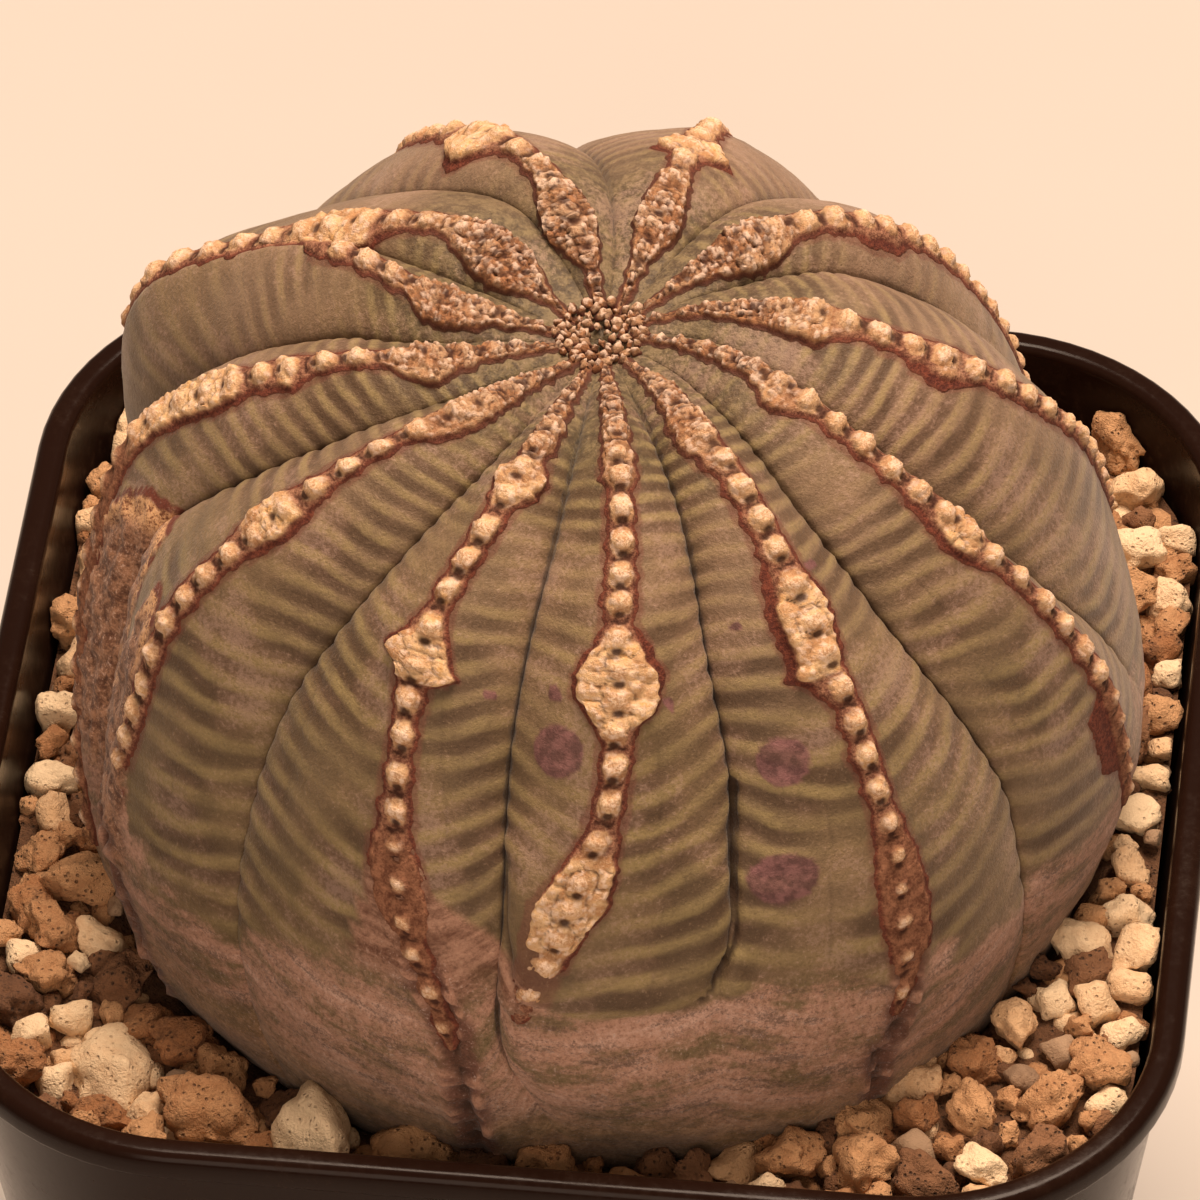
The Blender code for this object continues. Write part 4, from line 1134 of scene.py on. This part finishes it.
def build_crown(finish):
    draw = random.Random(7)
    models = [lump_of(3, 0.6, seed) for seed in range(5)]
    copies = []
    for number in range(CROWN_LUMPS):
        reach = SPIRAL_STEP * math.sqrt(number + 0.8)
        base = skin_at(np.array([number * GOLDEN_ANGLE]), np.array([reach]), LUMP_LIFT)[0]
        along, aside = base[0] - PLANT_AXIS[0] - SLIT_MIDDLE, base[1] - PLANT_AXIS[1]
        if abs(along) < SLIT_LENGTH / 2 and abs(aside) < SLIT_WIDTH / 2:
            continue
        size = draw.uniform(0.26, 0.5)
        scale = (size, size * draw.uniform(0.55, 0.95), size * draw.uniform(1.1, 1.9))
        turn = (draw.uniform(-0.4, 0.4), draw.uniform(-0.4, 0.4), draw.uniform(0.0, 6.3))
        copy = copy_of(models[number % len(models)], scale, turn, base)
        tone, height = draw.random(), vertices_of(copy)[:, 2]
        # Coloured by height on each lump: cream with painted highlight on top, rust lower, painted shade at
        # the bottom
        masks = {
            "cream": soft_step(height, -0.3, 0.7), "rust": soft_step(height, 0.6, -0.4) * 0.9,
            "edge": soft_step(height, -0.3, -0.9), "pit_shade": soft_step(height, -0.1, -0.8),
            "knob": 0.5 * soft_step(height, 0.6, 1.1), "grit": 0.8 * soft_step(height, 0.4, 1.1),
            "tone": height * 0.0 + tone, "old": height * 0.0, "young": height * 0.0 + 1.0,
        }
        for name, values in masks.items():
            mark(copy, name, values)
        copies.append(copy)
    discard(models)
    seat(join(copies), "cork_crown", "cork_crests", finish, smooth=80.0)


build_crown(CORK)

# %% [markdown]
# The gravel
#
# The plant stands in a sieved mix: smooth cream pumice, crumbly orange-brown fired clay, a little dark
# porous clay and a few grey stones. A heap of spheres would look like sweets. Each stone model starts as
# an icosphere, is filed flat against a few chance planes, and is knocked about; a handful of models of
# each kind are then copied, turned and scaled. The big stones that show stand where they were measured,
# and smaller ones fill the gaps by chance, but always the same chance. Whatever would reach through the
# pot's wall is pressed flat against it.

# %% Sizes of the pot and its bed, in millimetres
POT_WIDTH, POT_CORNER = 90.0, 19.7
FOOT_WIDTH, FOOT_CORNER, FOOT_RING, FOOT_RECESS = 68.0, 13.0, 5.0, 1.5
WALL, BEAD_OVERHANG, BEAD_HEIGHT = 1.2, 1.1, 2.4
DRAIN_RADIUS, DRAIN_PITCH = 3.5, 13.0
BEAD_BOTTOM = POT_HEIGHT - BEAD_HEIGHT
BED_CLEARANCE = 0.4
SOIL_LEVELS = [(0, 71.0), (30, 70.0), (90, 69.3), (180, 68.6), (222, 67.6), (246, 68.6), (262, 69.6),
               (282, 70.4), (300, 71.6), (330, 71.8), (360, 71.0)]  # direction from the plant, height


def pot_half(height):
    """Half the pot's outer width under the bead, at a height over its foot."""
    top = POT_WIDTH / 2.0 - BEAD_OVERHANG
    return FOOT_WIDTH / 2.0 + (top - FOOT_WIDTH / 2.0) * height / BEAD_BOTTOM


def pot_corner(height):
    return FOOT_CORNER + (POT_CORNER - BEAD_OVERHANG - FOOT_CORNER) * height / BEAD_BOTTOM


def wall_reach(angle, height, inset):
    """Distance from the pot's axis to a loop inside its wall, in the direction of an angle."""
    corner = pot_corner(height) - inset
    straight = pot_half(height) - inset
    flat = straight - corner
    cosine, sine = np.abs(np.cos(angle)), np.abs(np.sin(angle))
    to_side = straight / np.maximum(cosine, sine)
    along = flat * (cosine + sine)
    to_corner = along + np.sqrt(np.maximum(along**2 - 2 * flat**2 + corner**2, 0.0))
    return np.where(to_side * np.minimum(cosine, sine) <= flat, to_side, to_corner)


def soil_level(angle):
    """Height of the soil's surface, which was pressed down on the left and heaped on the right."""
    return all_round(SOIL_LEVELS, np.degrees(angle - math.radians(PLANT_TURN)))


# %% The bed under the stones, with the plant's hole
BED_COLUMNS, HOLE_LOOPS, MOUTH_LOOPS = 120, 12, 8
BED_SUNK, BED_LEVEL = 1.3, 68.0
HOLE_BOTTOM, HOLE_TOP = OUTLINE_LENGTH - 4.0, 76.5  # down the plant's outline
HOLE_CLEARANCE, HOLE_FLARE = 0.9, 0.6


def build_bed(finish):
    """Loops of points up the hole, out to the wall and down inside it to the pot's floor."""
    angle = np.arange(BED_COLUMNS) / BED_COLUMNS * 2 * math.pi
    level = soil_level(angle) - BED_SUNK
    loops = []
    for share in np.linspace(0.0, 1.0, HOLE_LOOPS):
        down = HOLE_BOTTOM - (HOLE_BOTTOM - HOLE_TOP) * share
        radius, height = outline_at(down, HOLE_CLEARANCE + HOLE_FLARE * share)
        height = POT_HEIGHT + height
        height = height + (level - height) * max(0.0, share - 0.8) * 5.0
        loops.append(np.stack([PLANT_AXIS[0] + radius * np.cos(angle), PLANT_AXIS[1] + radius * np.sin(angle),
                               height + 0 * angle], axis=1))
    rim = loops[-1]
    reach = wall_reach(angle, BED_LEVEL, WALL + BED_CLEARANCE)
    wall = np.stack([reach * np.cos(angle), reach * np.sin(angle), level], axis=1)
    for share in np.linspace(0.12, 1.0, MOUTH_LOOPS):
        loops.append(rim + (wall - rim) * share)
    bottom = FOOT_RECESS + WALL + BED_CLEARANCE
    for height in (60.0, 40.0, 20.0, bottom):
        reach = wall_reach(angle, height, WALL + BED_CLEARANCE)
        loops.append(np.stack([reach * np.cos(angle), reach * np.sin(angle), height + 0 * angle], axis=1))
    loops.append(loops[-1] * (0.5, 0.5, 1.0))
    start = np.array([[PLANT_AXIS[0], PLANT_AXIS[1], loops[0][0, 2] - 1.0]] * BED_COLUMNS)
    end = np.array([[0.0, 0.0, bottom]] * BED_COLUMNS)
    sheet = np.stack([start, *loops, end])
    top = slice(HOLE_LOOPS + 1, HOLE_LOOPS + MOUTH_LOOPS)
    sheet[top, :, 2] += 0.5 * grain(sheet[top], 2.0, 11)
    bed, row, _ = drape(sheet)
    mark(bed, "tone", np.full(len(row), 0.3))
    seat(bed, "gravel_bed", "gravel", finish, smooth=60.0)


# %% Models of the stones
STONE_KINDS = {  # planes, how deep they cut (least, most), rounding passes, roughness, height of the grains
    "pumice": (8, 0.52, 0.86, 2, 0.32, 0.12),
    "clay": (8, 0.54, 0.88, 1, 0.42, 0.26),
    "dark": (8, 0.54, 0.88, 1, 0.42, 0.28),
    "grey": (8, 0.52, 0.84, 2, 0.20, 0.05),
}


def grains_of(points, size, seed):
    """Rounded grains from 0 at their edges to 1 on top, scattered over a stone."""
    shift = Vector((seed * 3.7, seed * 9.1, seed * 5.3))
    near = [noise.voronoi(Vector(point) / size + shift)[0][0] for point in points]
    return 1.0 - np.minimum(np.array(near) * 1.15, 1.0) ** 2


def stone_model(kind, subdivisions, seed):
    """An icosphere filed flat against chance planes, rounded off and knocked about."""
    planes, least, most, rounding, rough, fine = STONE_KINDS[kind]
    draw = random.Random(seed)
    obj = add(bpy.ops.mesh.primitive_ico_sphere_add, subdivisions=subdivisions, radius=1.0)
    points = vertices_of(obj)
    for _ in range(planes):
        facing = np.array([draw.gauss(0, 1), draw.gauss(0, 1), draw.gauss(0, 1)])
        facing /= np.linalg.norm(facing)
        over = np.maximum(points @ facing - draw.uniform(least, most), 0.0)
        points -= 0.93 * over[:, None] * facing
    move_vertices(obj, points)
    edit(obj, lambda: bpy.ops.mesh.vertices_smooth(factor=0.5, repeat=rounding))
    points = vertices_of(obj)
    swell = rough * (grain(points, 0.9, seed) + 0.45 * grain(points, 0.4, seed + 1))
    swell += fine * (grains_of(points, 0.42, seed) - 0.6)
    swell += 0.4 * fine * (grains_of(points, 0.2, seed + 2) - 0.6)
    move_vertices(obj, points * (1.0 + swell[:, None]))
    return obj


# %% Where the stones lie: (across, back, width) in millimetres in the pot's own frame
STONES = {
    "pumice": [
        (-30.8, -30.1, 6.8), (-15.8, -37.0, 7.3), (41.0, -15.2, 4.4), (40.1, -11.5, 3.8), (40.6, 29, 3.4),
        (40.2, 22.7, 4), (-39.6, 34, 3.6), (-40.3, 3.2, 3.6), (-39.8, -3.2, 3.6), (-39.4, -6.9, 3.4),
        (32.8, -23.2, 3.8), (31.5, -36.9, 3.6), (-35.4, -31.6, 3.4), (-34.2, -18.4, 3.6), (-39.5, -20.3, 3),
        (-35.1, -25.9, 3), (40.2, 3.1, 3), (37.3, 27.1, 4.4), (-40.2, 18.6, 2.7), (-37.6, -27.6, 3.2),
        (-20.2, -40.2, 3.0), (35.4, -20.2, 3.2), (38.4, -20.6, 3.4), (37.0, 33.8, 4.4), (-41.0, 23.4, 3.0),
        (-39.0, 30.6, 3.4), (39.6, -6.6, 3.2),
    ],
    "clay": [
        (-23.6, -34.6, 6.6), (-36.3, -12.9, 5.1), (-39.6, -10.6, 3.6), (-28.0, -37.4, 4), (39, -26.4, 4.4),
        (17.9, -36.6, 4.4), (23.4, -37.6, 4.8), (30.6, -31.6, 4.2), (6.1, -39.3, 3.6), (30.2, -27.1, 3.8),
        (35.2, 38.4, 4.4), (-40.6, 12.2, 4.2), (-40.5, 27.6, 3), (40.2, 16.5, 3), (40.6, 9.9, 3),
        (36.0, -30.6, 4.6), (26.8, -32.0, 3.4), (-31.6, -34.9, 3.6),
    ],
    "dark": [(-32, -22.4, 4.4), (37.8, -17.6, 3.8), (11.4, -39.3, 3.8), (-35.8, -35.4, 3.4)],
    "grey": [(36.2, -25.0, 3.2), (26.6, -35.4, 3.3), (33.6, -27.8, 2.8), (-26.6, -31.0, 2.6)],
}

# Kinds of the stones that fill the gaps, as running shares; only the small ones are grey
KIND_SHARES = [("clay", 0.50), ("pumice", 0.76), ("dark", 0.91), ("grey", 1.0)]
LARGEST_GREY = 1.2

# Fillers in layers: height, tries, largest and smallest half width, spacing over the widths
LAYERS = [(0.0, 18000, 2.3, 0.80, 0.80), (-1.1, 9000, 1.5, 0.9, 0.72)]
PLOT_HALF, STONE_LEVEL = 42.0, 69.0
WALL_GAP = 0.15

# Fillers keep out of this circle round the plant, by a share of their half width, and off the wall
FREE_RADIUS, OFF_PLANT, OFF_WALL = 36.9, 0.62, 0.95

# A stone is a little wider than its spacing and is sunk in; from this half width its mesh is the finest
STONE_SPREAD, STONE_SUNK, FINE_FROM = 1.12, 0.6, 1.7


def stone_places(draw):
    """The measured stones, then ever smaller ones wherever they fit, then fillers under them."""
    placed = [(x, y, width / 2.0, kind, 0.0) for kind, stones in STONES.items() for x, y, width in stones]
    for layer, tries, largest, smallest, spacing in LAYERS:
        below = [stone for stone in placed if stone[4] == layer]
        for attempt in range(tries):
            half = largest + (smallest - largest) * attempt / tries
            x, y = draw.uniform(-PLOT_HALF, PLOT_HALF), draw.uniform(-PLOT_HALF, PLOT_HALF)
            lucky = draw.random()
            if math.hypot(x, y) > wall_reach(math.atan2(y, x), STONE_LEVEL, WALL) - OFF_WALL * half:
                continue
            if math.hypot(x - PLANT_AXIS[0], y - PLANT_AXIS[1]) < FREE_RADIUS + OFF_PLANT * half:
                continue
            if all(math.hypot(x - a, y - b) > spacing * (half + other) for a, b, other, _, _ in below):
                kind = next(name for name, share in KIND_SHARES
                            if lucky < share or (name == "dark" and half > LARGEST_GREY))
                below.append((x, y, half, kind, layer))
        placed += [stone for stone in below if stone not in placed]
    return placed


# %% Stones copied into place, one piece for each kind
def keep_inside(stones):
    """Press flat against the pot's wall whatever would reach through it."""
    select_only(stones)
    bpy.ops.object.transform_apply(location=True, rotation=True, scale=True)
    points = vertices_of(stones) / MM
    far = np.hypot(points[:, 0], points[:, 1])
    allowed = wall_reach(np.arctan2(points[:, 1], points[:, 0]), points[:, 2], WALL + WALL_GAP)
    points[:, :2] *= np.minimum(1.0, allowed / far)[:, None]
    move_vertices(stones, points * MM)
    return stones


def build_stones(finishes):
    draw = random.Random(21)
    models = {(kind, fineness): [stone_model(kind, fineness, 10 * index + fineness) for index in range(6)]
              for kind in STONE_KINDS for fineness in (2, 3, 4)}
    copies = {kind: [] for kind in STONE_KINDS}
    for x, y, half, kind, layer in stone_places(draw):
        fineness = 4 if half > FINE_FROM else 3 if layer == 0.0 else 2
        model = draw.choice(models[kind, fineness])
        shape = Vector((draw.uniform(1.0, 1.22), draw.uniform(0.84, 1.0), draw.uniform(0.68, 0.86)))
        turn = (draw.gauss(0.0, 0.35), draw.gauss(0.0, 0.35), draw.uniform(0.0, 2 * math.pi))
        z = soil_level(math.atan2(y, x)) + draw.uniform(-0.1, 0.45) * half + layer - STONE_SUNK
        copy = copy_of(model, shape * half * STONE_SPREAD, turn, (x, y, z))
        mark(copy, "tone", np.full(len(copy.data.vertices), draw.random()))
        copies[kind].append(copy)
    for group in models.values():
        discard(group)
    for kind, group in copies.items():
        print(len(group), kind, "stones")
        seat(keep_inside(join(group)), f"gravel_{kind}", "gravel", finishes[kind], smooth=70.0)


# %% The finishes of the stones
def stone_finish(name, dark, mid, pale, pores, relief):
    """A dry matt stone: three colours, mixed by its own chance and by fine mottling, with pores in painted
    shade.
    """
    stone = Finish(name, Roughness=0.92)
    dark, mid, pale = seen(*dark), seen(*mid), seen(*pale)
    mottle, fine = stone.clouds(0.8, 5.0, 0.65), stone.clouds(4.0, 3.0, 0.7)
    # Pores: dents in the bump, darkened with painted shade
    pore = stone.cells(1.7).step(0.28, 0.05) * pores
    tone = stone.attribute("tone")
    colour = stone.washes(
        stone.mix((tone * 0.6 + mottle * 0.9).step(0.35, 1.0), mid, pale),
        ((mottle * 0.8 + fine * 0.5 - tone * 0.25).step(0.6, 0.82) * 0.7, dark),
        (pore * 0.8, dark))
    height = fine * 0.8 + mottle * 0.8 - pore * 1.5
    return stone.wear(color=colour, height=height, relief=relief)


STONE_FINISHES = {
    "pumice": stone_finish("pumice_cream", (176, 118, 72), (224, 168, 114), (246, 202, 150), 0.4, 0.3),
    "clay": stone_finish("clay_fired", (92, 50, 27), (166, 104, 59), (214, 152, 98), 0.6, 0.5),
    "dark": stone_finish("clay_dark", (52, 30, 18), (102, 62, 36), (144, 94, 58), 0.8, 0.45),
    "grey": stone_finish("stone_grey", (84, 58, 38), (128, 94, 66), (168, 128, 92), 0.2, 0.2),
}
build_bed(stone_finish("crumbs_fine", (40, 22, 13), (96, 58, 33), (158, 104, 64), 0.5, 0.9))
build_stones(STONE_FINISHES)

# %% [markdown]
# The pot
#
# A small square nursery pot: one skin of black plastic with round corners, a rolled bead and a foot ring.
# It is made as a moulder's drawing is read. A plane with its corners rounded is the floor, and it is
# extruded step by step: down and out over the foot, up the outer wall, round the bead and down inside.
# The drain holes are cut last with a Boolean.

# %% The pot's profile: (half width, corner radius, height)
def bead_arc(middle_inset, middle_height, radius, start, end, steps=6):
    """Loops round one corner of the bead's section, between two angles in degrees from straight out."""
    loops = []
    for number in range(steps + 1):
        angle = math.radians(start + (end - start) * number / steps)
        inset = middle_inset - radius * math.cos(angle)
        loops.append((POT_WIDTH / 2 - inset, POT_CORNER - inset, middle_height + radius * math.sin(angle)))
    return loops


def wall_loop(inset, height):
    return pot_half(height) - inset, pot_corner(height) - inset, height


OUTER_ROUND, INNER_ROUND, UNDER_ROUND, FOOT_ROUND = 0.95, 0.8, 0.5, 0.8
BEAD_WIDTH = BEAD_OVERHANG + WALL
FLOOR_TOP = FOOT_RECESS + WALL
profile = [
    wall_loop(FOOT_RING, FOOT_RECESS), wall_loop(FOOT_RING, 0.3), wall_loop(FOOT_RING - 0.3, 0.0),
    wall_loop(FOOT_ROUND, 0.0), wall_loop(FOOT_ROUND * 0.3, FOOT_ROUND * 0.3), wall_loop(0.0, FOOT_ROUND),
    *[wall_loop(0.0, height) for height in (12.0, 30.0, 48.0, 62.0, 70.0, BEAD_BOTTOM - 0.1)],
    *bead_arc(UNDER_ROUND, BEAD_BOTTOM + UNDER_ROUND, UNDER_ROUND, -80, 0, 4),
    *bead_arc(OUTER_ROUND, POT_HEIGHT - OUTER_ROUND, OUTER_ROUND, 0, 90, 8),
    *bead_arc(BEAD_WIDTH - INNER_ROUND, POT_HEIGHT - INNER_ROUND, INNER_ROUND, 90, 180, 7),
    *[wall_loop(WALL, height) for height in (BEAD_BOTTOM - 1.5, 66.0, 50.0, 25.0, FLOOR_TOP + 1.0)],
    wall_loop(WALL + 0.3, FLOOR_TOP + 0.3), wall_loop(WALL + 1.0, FLOOR_TOP),
]


# %% The pot, extruded along its profile
def build_pot():
    half, corner, height = profile[0]
    pot = add(bpy.ops.mesh.primitive_plane_add, size=2 * half, location=(0.0, 0.0, height))
    bpy.ops.object.transform_apply(location=True)
    edit(pot, lambda: bpy.ops.mesh.bevel(affect="VERTICES", offset=corner, segments=16))
    for next_half, next_corner, next_height in profile[1:]:
        bpy.ops.object.mode_set(mode="EDIT")
        bpy.ops.mesh.extrude_region()
        bpy.ops.object.mode_set(mode="OBJECT")
        picked = np.array([vertex.select for vertex in pot.data.vertices])
        points = vertices_of(pot)
        side = np.sign(points[picked, :2])
        out = (points[picked, :2] - side * (half - corner)) / corner
        points[picked, :2] = side * (next_half - next_corner) + out * next_corner
        points[picked, 2] = next_height
        move_vertices(pot, points)
        half, corner = next_half, next_corner
    edit(pot, lambda: bpy.ops.mesh.normals_make_consistent(inside=False))
    pot.scale = (MM, MM, MM)
    select_only(pot)
    bpy.ops.object.transform_apply(scale=True)

    drills = []
    for x, y in [(0.0, 0.0)] + [(x * DRAIN_PITCH, y * DRAIN_PITCH) for x in (-1, 1) for y in (-1, 1)]:
        place = Vector((x, y, FOOT_RECESS + WALL / 2)) * MM
        drills.append(add(bpy.ops.mesh.primitive_cylinder_add,
                          radius=DRAIN_RADIUS * MM, depth=4 * WALL * MM, location=place))
    drill = join(drills)
    cut = pot.modifiers.new("drain_holes", "BOOLEAN")
    cut.object = drill
    select_only(pot)
    bpy.ops.object.modifier_apply(modifier=cut.name)
    bpy.data.objects.remove(drill, do_unlink=True)

    points = vertices_of(pot) / MM
    reach = wall_reach(np.arctan2(points[:, 1], points[:, 0]), points[:, 2], 0.0)
    depth_inside = reach - np.hypot(points[:, 0], points[:, 1])
    between_ends = (points[:, 2] > FOOT_RECESS + 0.1) & (points[:, 2] < POT_HEIGHT - 1.0)
    mark(pot, "inside", (depth_inside > WALL / 2) & between_ends)
    return pot


# %% The finish of the pot
def pot_finish():
    """Glossy black plastic tinted brown by a painted warm reflection, with faint brown dust, and water marks
    down the inner wall.
    """
    plastic = Finish("pot_plastic_black", Specular_IOR_Level=0.1)
    cloud, scuff = plastic.clouds(0.12, 4.0), plastic.clouds(1.4, 5.0, 0.7)
    streaks = plastic.clouds(1.0, 3.0, 0.6)
    dust = (cloud * 0.7 + scuff * 0.5).step(0.56, 0.85)
    inside = plastic.attribute("inside")
    # Both colours are tinted brown as a painted warm reflection; the second, lighter one is faint dust
    colour = plastic.mix(dust * 0.4, (0.013, 0.005, 0.003), (0.028, 0.013, 0.007))
    colour = plastic.mix(inside * streaks.step(0.5, 0.75) * 0.35, colour, (0.075, 0.046, 0.030))
    roughness = dust * 0.16 + scuff * 0.12 + 0.12 + inside * 0.26
    return plastic.wear(color=colour, roughness=roughness, height=cloud * 0.6 + scuff * 0.25, relief=0.03)


seat(build_pot(), "pot_moulded", "pot", pot_finish(), smooth=35.0)

# %% [markdown]
# Floor and light
#
# A plain pale floor and soft lamps, so that nothing competes with the plant. The big lamp hangs over it
# and a little behind, as the ribs' shadows fall towards the viewer, and a weak one fills the front.

# %% Floor
FLOOR_SIZE = 6.0  # metres


def build_floor():
    floor = add(bpy.ops.mesh.primitive_plane_add, size=FLOOR_SIZE)
    floor.name = "floor"
    paper = Finish("floor_paper", Roughness=0.7)
    paper.wear(color=paper.mix(paper.clouds(0.02, 2.0), (0.60, 0.56, 0.52), (0.64, 0.60, 0.56)))
    floor.data.materials.append(paper.material)
    print("floor", FLOOR_SIZE, "m square")


build_floor()


# %% Lamps
def lamp(name, place, aim, size, power):
    """A square soft lamp that faces a point; places in millimetres, power in watts."""
    light = bpy.data.lights.new(name, "AREA")
    light.size = size * MM
    light.energy = power
    light.color = LAMP
    obj = bpy.data.objects.new(name, light)
    obj.location = Vector(place) * MM
    obj.rotation_euler = (Vector(aim) - Vector(place)).to_track_quat("-Z", "Y").to_euler()
    bpy.context.scene.collection.objects.link(obj)
    print(f"{name}: {power} W, {size} mm square")


lamp("overhead_lamp", (60, 180, 720), (0, 0, 90), 330, 7.9)
lamp("front_fill", (0, -620, 400), (0, 0, 70), 420, 2.0)

WORLD_STRENGTH = 0.21
world = bpy.data.worlds.new("studio")
world.use_nodes = True
backdrop = world.node_tree.nodes["Background"]
backdrop.inputs["Color"].default_value = (*LAMP, 1.0)
backdrop.inputs["Strength"].default_value = WORLD_STRENGTH
bpy.context.scene.world = world
bpy.context.scene.view_settings.view_transform = "Standard"
